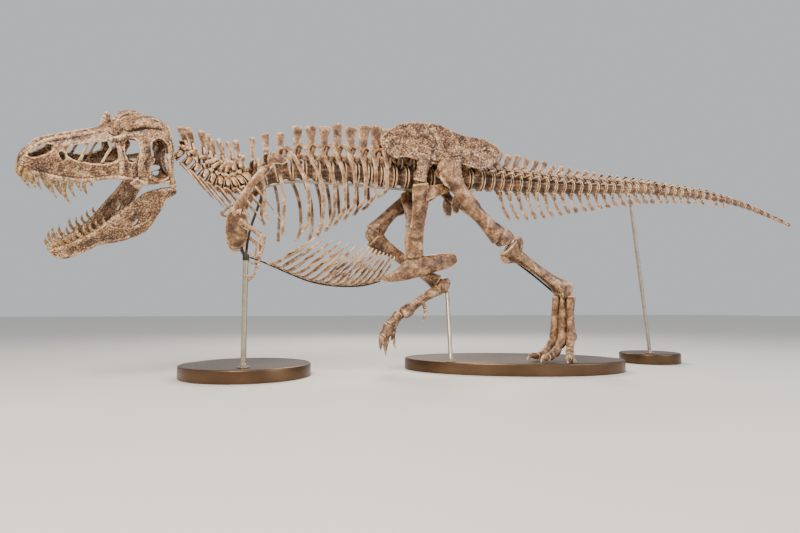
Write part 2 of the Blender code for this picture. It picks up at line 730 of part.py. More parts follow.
def scapula(side, name):
    keys = mirrored([
        (-2.235, 0.455, 2.82, 0.150, 0.016), (-2.31, 0.465, 2.735, 0.115, 0.016),
        (-2.44, 0.475, 2.61, 0.062, 0.020), (-2.58, 0.47, 2.44, 0.048, 0.024),
        (-2.69, 0.45, 2.24, 0.054, 0.028), (-2.75, 0.41, 2.06, 0.100, 0.040),
        (-2.755, 0.34, 1.88, 0.130, 0.032), (-2.74, 0.25, 1.74, 0.115, 0.024),
        (-2.73, 0.19, 1.65, 0.065, 0.014)], side)
    return node(name, [bone(keys, 8, Vector((0.75, 0, 0.66)), 1)])


def furcula():
    half_span = [(-2.80, 0.40, 2.19, 0.014, 0.014), (-2.87, 0.28, 2.15, 0.018, 0.018),
                 (-2.93, 0.12, 2.12, 0.020, 0.020), (-2.945, 0, 2.13, 0.024, 0.022)]
    keys = mirrored(half_span, -1) + half_span[-2::-1]
    return node("furcula", [bone(keys, 6, UP, 1)])


SHOULDER = (-2.73, 0.40, 1.975)
ELBOW = (-2.45, 0.475, 1.785)
WRIST = 1.553


def humerus(side, name):
    keys = mirrored([
        SHOULDER + (0.050, 0.036), (-2.66, 0.42, 1.935, 0.040, 0.030), (-2.57, 0.45, 1.87, 0.028, 0.026),
        (-2.49, 0.47, 1.815, 0.034, 0.030), ELBOW + (0.045, 0.034)], side)
    return node(name, [bone(keys, 8, UP, 1)])


def trimmed(obj, level, keep):
    """Cut a body flat at a height; keep is +1 for the part above it, -1 for the part below."""
    bm = bmesh.new()
    bm.from_mesh(obj.data)
    whole = list(bm.verts) + list(bm.edges) + list(bm.faces)
    bmesh.ops.bisect_plane(bm, geom=whole, plane_co=(0, 0, level), plane_no=(0, 0, -keep), clear_outer=True)
    rim = [edge for edge in bm.edges if len(edge.link_faces) == 1]
    bmesh.ops.holes_fill(bm, edges=rim)
    bmesh.ops.triangulate(bm, faces=bm.faces)
    bm.to_mesh(obj.data)
    bm.free()
    return obj


def forearm(side, name):
    radius = mirrored([(-2.475, 0.465, 1.77, 0.022, 0.020), (-2.50, 0.465, 1.66, 0.014, 0.014),
                       (-2.487, 0.472, 1.535, 0.022, 0.020)], side)
    ulna = mirrored([(-2.428, 0.485, 1.805, 0.026, 0.022), (-2.435, 0.487, 1.67, 0.018, 0.015),
                     (-2.462, 0.480, 1.535, 0.022, 0.020)], side)
    return trimmed(node(name, [bone(radius, 5, X_AXIS, 1), bone(ulna, 5, X_AXIS, 1)]), WRIST + GAP * 0.6, 1)


def hand(side, name):
    second = mirrored([(-2.475, 0.475, 1.575, 0.024, 0.028), (-2.482, 0.474, 1.48, 0.015, 0.016),
                       (-2.49, 0.47, 1.44, 0.022, 0.020), (-2.50, 0.467, 1.39, 0.014, 0.014),
                       (-2.53, 0.463, 1.34, 0.019, 0.016), (-2.575, 0.46, 1.295, 0.024, 0.012),
                       (-2.665, 0.457, 1.31, 0.003, 0.003)], side)
    first = mirrored([(-2.478, 0.464, 1.548, 0.022, 0.024), (-2.505, 0.452, 1.52, 0.018, 0.017),
                      (-2.54, 0.445, 1.525, 0.017, 0.015), (-2.575, 0.44, 1.545, 0.022, 0.011),
                      (-2.605, 0.436, 1.61, 0.003, 0.003)], side)
    fingers = [bone(second, 5, X_AXIS, 1, True), bone(first, 5, UP, 1, True)]
    return trimmed(node(name, fingers), WRIST - GAP * 0.6, -1)


# Belly ribs

GASTRALIA_ROWS = 15
BELLY_LINE = [(-2.44, 1.52), (-2.13, 1.39), (-1.80, 1.265), (-1.46, 1.21), (-1.11, 1.215), (-0.83, 1.285)]
# keys by row number: run of the row toward the tail, height of its outer end, half width there
ROW_SHAPE = [(0, 0.50, 1.80, 0.47), (6, 0.52, 1.72, 0.50), (10, 0.32, 1.66, 0.44), (14, 0.12, 1.60, 0.36)]


def gastralia(side, name):
    """Slanting rows of thin belly ribs, their inner ends lapped over the row in front."""
    pieces = []
    first = -2.30
    pitch = 0.104
    lap = 0.140
    above = 0.022
    for row in range(GASTRALIA_ROWS):
        run, end_z, end_y = between(ROW_SHAPE, row)
        x = first + pitch * row
        z = between(BELLY_LINE, x)[0] + above
        ahead = between(BELLY_LINE, x - lap)[0] + above
        pieces.append(rod([
            (x - lap, side * 0.018, ahead, 0.012, 0.014), (x, side * 0.042, z, 0.017, 0.017),
            (x + run * 0.52, side * end_y * 0.74, z + (end_z - z) * 0.44, 0.022, 0.016),
            (x + run, side * end_y, end_z, 0.013, 0.011)], 3, UP))
    return node(name, pieces)


# Pelvis

# Stations of the hip blade: x, top edge, lower edge, half thickness
ILIUM = [
    (-0.90, 3.22, 3.13, 0.010), (-0.84, 3.31, 3.06, 0.018), (-0.70, 3.43, 2.97, 0.026),
    (-0.52, 3.52, 2.99, 0.034), (-0.30, 3.55, 2.92, 0.050), (-0.06, 3.55, 2.92, 0.060),
    (0.12, 3.50, 2.94, 0.052), (0.28, 3.43, 2.95, 0.040), (0.52, 3.40, 2.90, 0.030),
    (0.70, 3.385, 2.95, 0.024), (0.85, 3.31, 3.05, 0.018), (0.93, 3.22, 3.13, 0.010)]
ILIUM_LEAN = 0.27        # how much nearer the mid-plane the blade stands for each metre up


def ilium(side, name):
    """Hip blade leaning in over the sacrum, with stout feet before and behind the hip socket."""
    rings = []
    for x, top, low, thick in ILIUM:
        ring = []
        for z, spread_out in ((top, 0.35), (low + (top - low) * 0.55, 0.8), (low, 1.0)):
            y = 0.33 - ILIUM_LEAN * (z - 2.9)
            ring.append((x, y, z, thick * spread_out))
        outer = [Vector((r[0], side * (r[1] + r[3]), r[2])) for r in ring]
        inner = [Vector((r[0], side * (r[1] - r[3]), r[2])) for r in reversed(ring)]
        rings.append(outer + inner)
    front = mirrored([(-0.27, 0.32, 3.02, 0.10, 0.055), (-0.31, 0.32, 2.84, 0.085, 0.070),
                      (-0.345, 0.30, 2.64, 0.090, 0.060)], side)
    rear = mirrored([(0.17, 0.32, 3.02, 0.09, 0.055), (0.20, 0.32, 2.86, 0.070, 0.065),
                     (0.22, 0.31, 2.74, 0.065, 0.055)], side)
    return node(name, [solid(rings), bone(front, 6, X_AXIS, 1), bone(rear, 6, X_AXIS, 1)])


def pubis():
    pieces = []
    for side in (-1, 1):
        shaft = mirrored([
            (-0.335, 0.30, 2.645, 0.110, 0.050), (-0.31, 0.26, 2.50, 0.140, 0.044),
            (-0.30, 0.18, 2.29, 0.116, 0.038), (-0.32, 0.11, 2.04, 0.114, 0.038),
            (-0.335, 0.05, 1.82, 0.138, 0.046), (-0.31, 0.0, 1.60, 0.125, 0.050)], side)
        pieces.append(bone(shaft, 6, X_AXIS, 1))
        plate = mirrored([(-0.27, 0.27, 2.50, 0.11, 0.030), (-0.08, 0.280, 2.555, 0.085, 0.028),
                          (0.10, 0.285, 2.62, 0.060, 0.026)], side)
        pieces.append(bone(plate, 6, UP, 1))
    boot = [(-0.80, 0, 1.310, 0.022, 0.014), (-0.66, 0, 1.340, 0.068, 0.045),
            (-0.52, 0, 1.395, 0.108, 0.066), (-0.36, 0, 1.470, 0.142, 0.080),
            (-0.18, 0, 1.525, 0.138, 0.080), (0.02, 0, 1.565, 0.124, 0.064),
            (0.17, 0, 1.602, 0.112, 0.050), (0.27, 0, 1.632, 0.086, 0.040),
            (0.325, 0, 1.655, 0.034, 0.020)]
    pieces.append(bone(boot, 8, UP, 1))
    apron = ((-0.36, 1.70), (-0.30, 1.70), (-0.30, 2.16), (-0.36, 2.16))
    pieces.append(solid([[Vector((x, y, z)) for x, z in apron] for y in (-0.13, 0.13)]))
    return node("pubis", pieces)


def ischium():
    pieces = []
    for side in (-1, 1):
        shaft = mirrored([
            (0.225, 0.30, 2.735, 0.085, 0.050), (0.29, 0.24, 2.59, 0.080, 0.032),
            (0.44, 0.13, 2.44, 0.062, 0.028), (0.61, 0.05, 2.29, 0.052, 0.026),
            (0.77, 0.025, 2.15, 0.045, 0.026), (0.90, 0.018, 2.04, 0.032, 0.022)], side)
        pieces.append(bone(shaft, 6, X_AXIS, 1))
        web = mirrored([(0.30, 0.22, 2.54, 0.085, 0.016), (0.255, 0.17, 2.40, 0.085, 0.014),
                        (0.26, 0.13, 2.27, 0.045, 0.010)], side)
        pieces.append(bone(web, 6, X_AXIS, 1))
    return node("ischium", pieces)


# Hind legs

def front_of(start, end):
    """Forward direction square to a bone that runs from start to end."""
    along = (Vector(end) - Vector(start)).normalized()
    return (-X_AXIS - along * (-X_AXIS).dot(along)).normalized()


def limb(start, end, shape):
    """Keys of a long bone from shape rows (share of length, forward, outward, half_wide, half_deep)."""
    start = Vector(start)
    end = Vector(end)
    front = front_of(start, end)
    keys = []
    for share, forward, outward, wide, deep in shape:
        spot = start + (end - start) * share + front * forward + Vector((0, outward, 0))
        keys.append(tuple(spot) + (wide, deep))
    return keys


def foot_axes(leg):
    """Level direction in which the middle toe points, and the one out to the fourth toe."""
    turn = leg["turn"]
    side = leg["side"]
    return Vector((-cos(turn), side * sin(turn), 0)), Vector((sin(turn), side * cos(turn), 0))


def femur(leg, name):
    side = leg["side"]
    front = front_of(leg["hip"], leg["knee"])
    shaft = limb(leg["hip"], leg["knee"], [
        (-0.05, 0.0, side * 0.01, 0.105, 0.075), (0.03, 0.0, side * 0.01, 0.135, 0.088),
        (0.14, 0.01, side * 0.01, 0.116, 0.098), (0.32, 0.02, 0.0, 0.104, 0.098),
        (0.62, 0.02, 0.0, 0.100, 0.098), (0.82, 0.0, 0.0, 0.126, 0.115), (0.93, -0.02, 0.0, 0.165, 0.140),
        (1.0, -0.03, 0.0, 0.155, 0.135), (1.05, -0.03, 0.0, 0.095, 0.105)])
    hip = Vector(leg["hip"])
    ball = [(hip.x + back, hip.y - side * inward, hip.z + rise, half, half) for back, inward, rise, half in (
        (0, 0, -0.02, 0.092), (-0.01, 0.10, 0.01, 0.080), (-0.02, 0.17, 0.02, 0.085),
        (-0.02, 0.215, 0.02, 0.050))]
    crest = limb(leg["hip"], leg["knee"], [
        (0.0, 0.10, side * 0.02, 0.045, 0.035), (0.10, 0.125, side * 0.03, 0.050, 0.030),
        (0.20, 0.07, side * 0.02, 0.040, 0.03)])
    return node(name, [bone(shaft, 8, front, 1), bone(ball, 8, UP, 1), bone(crest, 5, front, 1)])


def tibia(leg, name):
    front = front_of(leg["knee"], leg["ankle"])
    side = leg["side"]
    keys = limb(leg["knee"], leg["ankle"], [
        (0.085, 0.03, -side * 0.02, 0.170, 0.112), (0.14, 0.045, -side * 0.02, 0.178, 0.106),
        (0.25, 0.03, -side * 0.02, 0.122, 0.090), (0.42, 0.005, -side * 0.01, 0.084, 0.078),
        (0.68, 0.0, 0.0, 0.080, 0.080), (0.86, 0.0, 0.0, 0.104, 0.110), (0.95, 0.0, 0.0, 0.145, 0.132),
        (1.0, 0.0, 0.0, 0.152, 0.134), (1.04, 0.0, 0.0, 0.120, 0.115)])
    return node(name, [bone(keys, 10, front, 1)])


def fibula(leg, name):
    front = front_of(leg["knee"], leg["ankle"])
    out = leg["side"]
    keys = limb(leg["knee"], leg["ankle"], [
        (0.065, 0.02, out * 0.140, 0.110, 0.034), (0.13, 0.02, out * 0.132, 0.094, 0.034),
        (0.26, 0.035, out * 0.108, 0.056, 0.028), (0.50, 0.045, out * 0.088, 0.034, 0.024),
        (0.80, 0.050, out * 0.088, 0.030, 0.022), (0.945, 0.060, out * 0.100, 0.042, 0.026)])
    return node(name, [bone(keys, 6, front, 1)])


# Toes: place across the foot, size of the foot bone and how much it stops short, lengths of the toe bones and
# their half width, splay on the ground, and how far the toe reaches and spreads when it hangs
TOES = [
    dict(number=2, out=-0.130, size=0.98, short=0.03, bones=(0.20, 0.15), width=0.073,
         splay=radians(-18), reach=0.88, hang=-0.10),
    dict(number=3, out=0.0, size=1.08, short=0.0, bones=(0.22, 0.17, 0.13), width=0.082,
         splay=0, reach=1.0, hang=0.0),
    dict(number=4, out=0.130, size=0.98, short=0.03, bones=(0.16, 0.12, 0.10, 0.08), width=0.071,
         splay=radians(18), reach=0.88, hang=0.10)]
TOE_DROP = 0.020         # how far the toes start below the ball of the foot
CLAW = 0.15
THINNER = 0.11


def metatarsus(leg, name):
    """Three long foot bones locked side by side, the middle one the longest."""
    heading, outward = foot_axes(leg)
    start = Vector(leg["ankle"])
    ball = Vector(leg["ball"])
    pieces = []
    for row in TOES:
        size = row["size"]
        top = start + outward * (row["out"] * 0.80)
        end = ball + outward * row["out"] + (start - ball).normalized() * row["short"]
        keys = limb(top, end, [
            (0.035, 0.0, 0.0, 0.098 * size, 0.068 * size), (0.12, 0.0, 0.0, 0.090 * size, 0.064 * size),
            (0.50, 0.012, 0.0, 0.062 * size, 0.056 * size),
            (0.90, 0.0, 0.0, 0.092 * size, 0.070 * size), (1.0, 0.0, 0.0, 0.080 * size, 0.066 * size)])
        pieces.append(bone(keys, 5, heading, 1))
    return node(name, pieces)


def toe(name, points, width, claw):
    """Chain of toe bones, thick at the joints and thinner at each, ending in a curved claw."""
    keys = []
    for i, (a, b) in enumerate(zip(points, points[1:])):
        size = width * (1 - THINNER * i)
        keys.append(tuple(a + (b - a) * 0.03) + (size, size * 0.98))
        keys.append(tuple(a + (b - a) * 0.50) + (size * 0.68, size * 0.66))
        keys.append(tuple(a + (b - a) * 0.90) + (size * 0.86, size * 0.84))
    last = points[-1]
    heading = (points[-1] - points[-2]).normalized()
    size = width * (1 - THINNER * len(points))
    middle = (last + claw) / 2 + UP * 0.030 + heading * 0.01
    keys.append(tuple(last) + (size * 0.95, size * 0.95))
    keys.append(tuple(middle) + (size * 0.62, size * 0.62))
    keys.append(tuple(claw) + (0.004, 0.004))
    return node(name, [rod(keys, 5, Vector((0.05, 1, 0)), True)])


def planted_foot(leg, suffix):
    """Toes flat on the middle base, splayed."""
    ground = BASE_MIDDLE["height"]
    ball = Vector(leg["ball"])
    heading, outward = foot_axes(leg)
    made = []
    for row in TOES:
        toward = heading * cos(row["splay"]) + outward * sin(row["splay"])
        spot = ball + heading * 0.045 + outward * row["out"] - UP * TOE_DROP
        high = spot.z
        low = ground + row["width"] * 0.80
        points = [spot.copy()]
        run = sum(row["bones"])
        gone = 0
        for length in row["bones"]:
            gone += length
            spot = spot + toward * length
            spot.z = low + (high - low) * (1 - gone / run) ** 2.2
            points.append(spot.copy())
        tip = points[-1] + toward * CLAW
        tip.z = ground + 0.012
        made.append(toe("toe_%d_%s" % (row["number"], suffix), points, row["width"], tip))
    return made


def hanging_foot(leg, suffix):
    """Toes of the lifted foot, hanging and curling down and forward."""
    ball = Vector(leg["ball"])
    drop = Vector(leg["toe"]) - ball
    heading, outward = foot_axes(leg)
    made = []
    for row in TOES:
        start = ball + heading * 0.05 + outward * row["out"] - UP * TOE_DROP
        finish = ball + drop * row["reach"] + outward * (row["out"] + row["hang"])
        count = len(row["bones"]) + 1
        arch = heading * 0.075 + UP * 0.035
        points = []
        for i in range(count + 1):
            share = i / count
            points.append(start.lerp(finish, share) + arch * (4 * share * (1 - share)))
        made.append(toe("toe_%d_%s" % (row["number"], suffix), points[:-1], row["width"], points[-1]))
    return made


def hallux(leg, name):
    """Small first toe behind the inner edge of the foot."""
    ball = Vector(leg["ball"])
    along = (Vector(leg["ankle"]) - ball).normalized()
    heading, outward = foot_axes(leg)
    start = ball + along * 0.30 - heading * 0.065 - outward * 0.135
    middle = start - UP * 0.10 - heading * 0.04 - outward * 0.02
    end = middle - UP * 0.08
    claw = end - UP * 0.11 + heading * 0.05
    keys = [tuple(start) + (0.040, 0.036), tuple((start + middle) / 2) + (0.028, 0.026),
            tuple(middle) + (0.040, 0.036), tuple(end) + (0.032, 0.030), tuple(claw) + (0.003, 0.003)]
    return node(name, [rod(keys, 6, Vector((0, 1, 0)), True)])


# Stand

def base(shape, name):
    """Low drum with a rounded upper edge."""
    height = shape["height"]
    turn = shape["turn"]
    rings = []
    for inset, z in ((0.0, 0.0), (0.0, height - BASE_BEVEL), (BASE_BEVEL, height)):
        ring = []
        for i in range(BASE_SIDES):
            a = 2 * pi * i / BASE_SIDES
            x = (shape["radii"][0] - inset) * cos(a)
            y = (shape["radii"][1] - inset) * sin(a)
            ring.append(Vector((shape["centre"][0] + x * cos(turn) - y * sin(turn),
                                shape["centre"][1] + x * sin(turn) + y * cos(turn), z)))
        rings.append(ring)
    return node(name, [solid(rings)], "bronze")


def tube(points, radius, sides=8):
    return rod([tuple(p) + (radius, radius) for p in points], sides, Vector((0.13, 0.98, 0.11)))


def flange(place, z, radius):
    """Round foot of a rod."""
    rings = []
    for level in (z, z + FLANGE):
        rings.append(oval(Vector(place + (level,)), X_AXIS, Vector((0, 1, 0)), radius, radius, 12, 0))
    return solid(rings)


def under_spine(first, last, count, right, down):
    """Points of a bar beside the vertebral bodies; right and down are shares of their radius."""
    points = []
    for i in range(count):
        x = first + (last - first) * i / (count - 1)
        centre = on_spine(x)[0]
        radius = size_at(x).radius
        away = Vector((0, right, -down)).normalized() * (BAR + CLEAR_OF_BONE)
        points.append(centre + Vector((0, right * radius, -down * radius)) + away)
    return points


def bracket(name):
    """Hub on the front rod with arms to the two shoulders and up to the bar under the spine."""
    x, y = FRONT_ROD
    start = (x, y, HUB + 0.03)
    pieces = [tube([(x, y, HUB + LIFT), (x, y, HUB + 0.06)], ROD * 1.15)]
    for side in (-1, 1):
        bend = (x - 0.02, y * 0.6 + side * 0.08, HUB + 0.06)
        pieces.append(tube([start, bend, (-2.69, side * 0.20, HUB + 0.15), (-2.70, side * 0.275, HUB + 0.27)],
                           THIN, 6))
    pieces.append(tube([start, (-2.60, -0.06, 1.87), (-2.50, 0, 2.22), (-2.40, 0, 2.525)], 0.018, 6))
    return node(name, pieces, "dark_steel")


def stand():
    """Bases, rods and bars, in the order in which they are cleared of one another."""
    bases = [base(BASE_MIDDLE, "stand_base_middle"), base(BASE_FRONT, "stand_base_front"),
             base(BASE_TAIL, "stand_base_tail")]
    foot = BASE_MIDDLE["height"] + LIFT
    sunk = foot - 0.07                   # slanted rods start below the base's top and are trimmed level
    spine_bar = node("stand_spine_bar", [tube(under_spine(-2.42, 0.60, 9, 0, 0.87), BAR, 6)], "steel")
    tail_bar = node("stand_tail_bar", [tube(under_spine(0.62, 4.90, 10, 0.75, 0.43), BAR, 6)], "steel")
    front_rod = node("stand_rod_front", [
        tube([FRONT_ROD + (foot,), FRONT_ROD + (HUB,)], ROD), flange(FRONT_ROD, foot, 0.075)], "steel")
    arms = bracket("stand_bracket_front")
    ankle_rod = trimmed(node("stand_rod_ankle", [
        tube([ANKLE_ROD + (sunk,), (0.20, 0.0, 0.60), (0.26, 0.22, 1.16)], SLIM_ROD),
        flange(ANKLE_ROD, foot, 0.070)], "steel"), foot, 1)
    heel_rod = trimmed(node("stand_rod_heel", [
        tube([(HEEL_ROD[0] - 0.04, HEEL_ROD[1] - 0.06, sunk), (1.86, -0.56, 0.43)], THIN),
        flange(HEEL_ROD, foot, 0.045)], "steel"), foot, 1)
    shin_rod = node("stand_rod_shin", [
        tube([(1.00, -0.30, 1.66), (1.45, -0.28, 1.37), (1.80, -0.24, 1.13)], THIN, 6)], "dark_steel")
    tail_rod = trimmed(node("stand_rod_tail", [
        tube([(TAIL_ROD[0] + 0.01, TAIL_ROD[1] + 0.005, sunk), (3.44, 0.03, 2.775)], SLIM_ROD),
        flange(TAIL_ROD, foot, 0.070)], "steel"), foot, 1)
    belly = [(x, 0, z) for x, z in BELLY_LINE]
    belly_bar = node("stand_belly_bar", [tube([FRONT_ROD + (HUB + 0.035,)] + belly, 0.012, 6)], "dark_steel")
    clear(arms, front_rod, spine_bar)
    clear(belly_bar, front_rod, arms)
    clear(tail_rod, tail_bar)
    clear(tail_bar, spine_bar)
    return bases + [spine_bar, tail_bar, front_rod, arms, ankle_rod, heel_rod, shin_rod, tail_rod, belly_bar]


def build():
    metal = stand()
    bones = [skull(), jaw(1, "jaw_left"), jaw(-1, "jaw_right"), neck()]
    bones += [torso(-1, "torso_left"), torso(1, "torso_right"), sacrum()]
    bones += [tail(part) for part in range(TAIL_PARTS)]
    bones.append(pubis())
    bones.append(ischium())
    for side, word in ((-1, "left"), (1, "right")):
        bones.append(ilium(side, "ilium_" + word))
    for leg, word in ((LEFT_LEG, "left"), (RIGHT_LEG, "right")):
        bones.append(femur(leg, "femur_" + word))
        bones.append(tibia(leg, "tibia_" + word))
        bones.append(fibula(leg, "fibula_" + word))
        bones.append(metatarsus(leg, "metatarsus_" + word))
    bones += planted_foot(LEFT_LEG, "left")
    bones += hanging_foot(RIGHT_LEG, "right")
    bones.append(hallux(LEFT_LEG, "toe_1_left"))
    bones.append(hallux(RIGHT_LEG, "toe_1_right"))
    for side, word in ((-1, "left"), (1, "right")):
        bones.append(scapula(side, "scapula_" + word))
        bones.append(humerus(side, "humerus_" + word))
        bones.append(forearm(side, "forearm_" + word))
        bones.append(hand(side, "hand_" + word))
        bones.append(gastralia(side, "gastralia_" + word))
    bones.append(furcula())
    for i, body in enumerate(bones):
        clear(body, *metal)
        # the two sides of the rib cage already stop half a gap from the mid-plane
        clear(body, *[bone for bone in bones[:i] if {body.name, bone.name} != {"torso_left", "torso_right"}])


build()
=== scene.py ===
import math
import bpy
import numpy as np
from mathutils import Matrix, Vector


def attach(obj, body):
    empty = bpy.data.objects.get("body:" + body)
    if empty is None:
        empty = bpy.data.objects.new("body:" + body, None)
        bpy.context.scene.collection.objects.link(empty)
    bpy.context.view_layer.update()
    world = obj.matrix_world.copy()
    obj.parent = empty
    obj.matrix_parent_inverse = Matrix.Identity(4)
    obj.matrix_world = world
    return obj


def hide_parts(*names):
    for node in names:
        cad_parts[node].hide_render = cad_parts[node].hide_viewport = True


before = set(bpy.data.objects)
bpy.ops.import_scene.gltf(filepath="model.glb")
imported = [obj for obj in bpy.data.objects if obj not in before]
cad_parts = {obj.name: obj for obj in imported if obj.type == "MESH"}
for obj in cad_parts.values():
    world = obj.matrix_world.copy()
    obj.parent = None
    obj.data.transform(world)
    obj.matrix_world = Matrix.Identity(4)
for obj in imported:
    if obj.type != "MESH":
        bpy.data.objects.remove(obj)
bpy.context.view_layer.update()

# Mounted tyrannosaurus skeleton. It strides toward -X, its left side is -Y, the floor is at Z = 0.
# Each bone is laid out as tapering bars along its own line, fused by a voxel remesh, smoothed and roughened.

up = Vector((0, 0, 1))
tailward = Vector((1, 0, 0))
sides = (("left", -1), ("right", 1))          # word, sign of Y


def deselect():
    if bpy.context.object and bpy.context.object.mode != "OBJECT":
        bpy.ops.object.mode_set(mode="OBJECT")
    bpy.ops.object.select_all(action="DESELECT")


def pick(obj):
    deselect()
    obj.select_set(True)
    bpy.context.view_layer.objects.active = obj


def useModifier(obj, kind, **settings):
    pick(obj)
    modifier = obj.modifiers.new(kind.title(), kind)
    for key, value in settings.items():
        setattr(modifier, key, value)
    bpy.ops.object.modifier_apply(modifier=modifier.name)


# Cylinder cut into rings by subdividing its long edges: the stock that every bone is laid from
def stockBar(around, rings):
    deselect()
    bpy.ops.mesh.primitive_cylinder_add(
        vertices=around, radius=1, depth=1, end_fill_type="NGON", location=(0, 0, 0))
    bar = bpy.context.object
    bpy.ops.object.mode_set(mode="EDIT")
    bpy.ops.mesh.select_all(action="DESELECT")
    bpy.ops.object.mode_set(mode="OBJECT")
    for edge in bar.data.edges:
        a, b = (bar.data.vertices[i].co for i in edge.vertices)
        edge.select = abs(a.z - b.z) > 0.5
    bpy.ops.object.mode_set(mode="EDIT")
    bpy.ops.mesh.select_mode(type="EDGE")
    bpy.ops.mesh.subdivide(number_cuts=rings - 2)
    bpy.ops.object.mode_set(mode="OBJECT")
    mesh = bar.data
    bpy.data.objects.remove(bar, do_unlink=True)
    points = np.zeros(len(mesh.vertices) * 3)
    mesh.vertices.foreach_get("co", points)
    return dict(mesh=mesh, points=points.reshape(-1, 3))


bars = dict(coarse=stockBar(8, 9), middle=stockBar(12, 15), fine=stockBar(20, 25))
barShape = dict(
    crowding=0.65,      # how far the rings crowd toward the ends
    step=0.004,         # either side of a ring, to find which way the bar runs
    blunt=0.09)         # square of the share of the width left at the very end


def catmullRom(k0, k1, k2, k3, f):
    return 0.5 * (2 * k1 + (k2 - k0) * f + (2 * k0 - 5 * k1 + 4 * k2 - k3) * f * f
                  + (3 * k1 - k0 - 3 * k2 + k3) * f ** 3)


# Smooth curve through rows of numbers, at the parameters t, which run from 0 to 1
def alongKeys(keys, t):
    rows = np.array(keys, float)
    last = len(rows) - 1
    place = np.clip(np.asarray(t) * last, 0, last - 1e-9)
    i = place.astype(int)
    return catmullRom(*(rows[np.clip(i + d, 0, last)] for d in (-1, 0, 1, 2)), (place - i)[:, None])


def unitRows(rows):
    return rows / (np.linalg.norm(rows, axis=1)[:, None] + 1e-12)


# Copy of a stock bar laid along keys (x, y, z, half width along hint, half depth), its ends rounded off
def layBar(keys, hint=tailward, stock="middle", ends=0.10):
    points = bars[stock]["points"]
    t = points[:, 2] + 0.5
    crowding, step = barShape["crowding"], barShape["step"]
    t = (1 - crowding) * t + crowding * (0.5 - 0.5 * np.cos(np.pi * t))
    rows = alongKeys(keys, t)
    ahead, behind = (alongKeys(keys, np.clip(t + away, 0, 1))[:, :3] for away in (step, -step))
    run = unitRows(ahead - behind)
    guide = np.array(hint, float)
    wide = unitRows(guide - run * (run @ guide)[:, None])
    deep = np.cross(run, wide)
    near = np.clip(np.minimum(t, 1 - t) / ends, 0, 1)
    shrink = np.sqrt(np.clip(1 - (1 - near) ** 2, barShape["blunt"], 1))[:, None]
    place = (rows[:, :3] + wide * points[:, :1] * rows[:, 3:4] * shrink
             + deep * points[:, 1:2] * rows[:, 4:5] * shrink)
    mesh = bars[stock]["mesh"].copy()
    mesh.vertices.foreach_set("co", place.ravel())
    obj = bpy.data.objects.new("bar", mesh)
    bpy.context.collection.objects.link(obj)
    return obj


# Row of a key: a point, then the half width and half depth of the bar there
def key(point, wide, deep):
    return (*point, wide, deep)


def merged(pieces):
    deselect()
    for piece in pieces:
        piece.select_set(True)
    bpy.context.view_layer.objects.active = pieces[0]
    if len(pieces) > 1:
        bpy.ops.object.join()
    return pieces[0]


def cutOut(obj, cuts):
    for cutter in cuts:
        useModifier(obj, "BOOLEAN", operation="DIFFERENCE", object=cutter, solver="MANIFOLD")
        bpy.data.objects.remove(cutter, do_unlink=True)


def finished(obj, name):
    pick(obj)
    bpy.ops.object.shade_smooth()
    obj.name = name
    obj.data.name = name
    return obj


# One bone from overlapping bars: joined, remeshed, cut, softened and given a weathered surface
def fuse(name, pieces, voxel=0.009, soften=3, rough=0.0022, grain=0.05, cuts=(), pitting=0.45):
    obj = merged(pieces)
    useModifier(obj, "REMESH", mode="VOXEL", voxel_size=voxel, adaptivity=0)
    if cuts:
        cutOut(obj, cuts)
        useModifier(obj, "REMESH", mode="VOXEL", voxel_size=voxel, adaptivity=0)
    useModifier(obj, "SMOOTH", factor=0.5, iterations=soften)
    for size, strength in ((grain, rough), (grain * 0.3, rough * pitting)):       # swells, then pits
        clouds = bpy.data.textures.new("weathering", "CLOUDS")
        clouds.noise_scale = size
        clouds.noise_depth = 2
        useModifier(obj, "DISPLACE", texture=clouds, texture_coords="GLOBAL", strength=strength,
                    mid_level=0.5)
        bpy.data.textures.remove(clouds)
    return finished(obj, name)


stood = {}          # CAD node to the pieces that stand for it


# Piece rides on the mount and stands for one or more CAD nodes
def keep(obj, node, material):
    nodes = (node,) if isinstance(node, str) else node
    obj.data.materials.clear()
    obj.data.materials.append(material)
    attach(obj, "root")
    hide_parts(*nodes)
    for each in nodes:
        stood.setdefault(each, []).append(obj.name)
    return obj


# Materials

# Linear colour of an sRGB hex value
def linear(code):
    parts = [int(code[i:i + 2], 16) / 255 for i in (1, 3, 5)]
    return [c / 12.92 if c <= 0.04045 else ((c + 0.055) / 1.055) ** 2.4 for c in parts] + [1.0]


# Node with its settings, its socket values and the links that feed it
def addNode(tree, kind, links=(), sockets=(), **settings):
    made = tree.nodes.new(kind)
    for key, value in settings.items():
        setattr(made, key, value)
    for key, value in sockets:
        made.inputs[key].default_value = value
    for key, source in links:
        tree.links.new(source, made.inputs[key])
    return made


def blankMaterial(name, roughness, metallic=0.0):
    material = bpy.data.materials.new(name)
    material.use_nodes = True
    tree = material.node_tree
    shader = tree.nodes["Principled BSDF"]
    shader.inputs["Roughness"].default_value = roughness
    shader.inputs["Metallic"].default_value = metallic
    place = addNode(tree, "ShaderNodeTexCoord").outputs["Object"]
    return material, tree, shader, place


def rampOf(tree, source, stops):
    ramp = addNode(tree, "ShaderNodeValToRGB", [("Fac", source)])
    elements = ramp.color_ramp.elements
    while len(elements) < len(stops):
        elements.new(0.5)
    for element, (position, code) in zip(elements, stops):
        element.position = position
        element.color = linear(code)
    return ramp.outputs["Color"]


boneTones = dict(
    dark="#1c110b", brown="#48301f", middle="#755337", tan="#a37e5b", cream="#d3b692",
    patchSize=0.12, blotchSize=0.030, blotchShare=0.55, crackSize=0.045, crackDepth=0.0014, roughness=0.44)


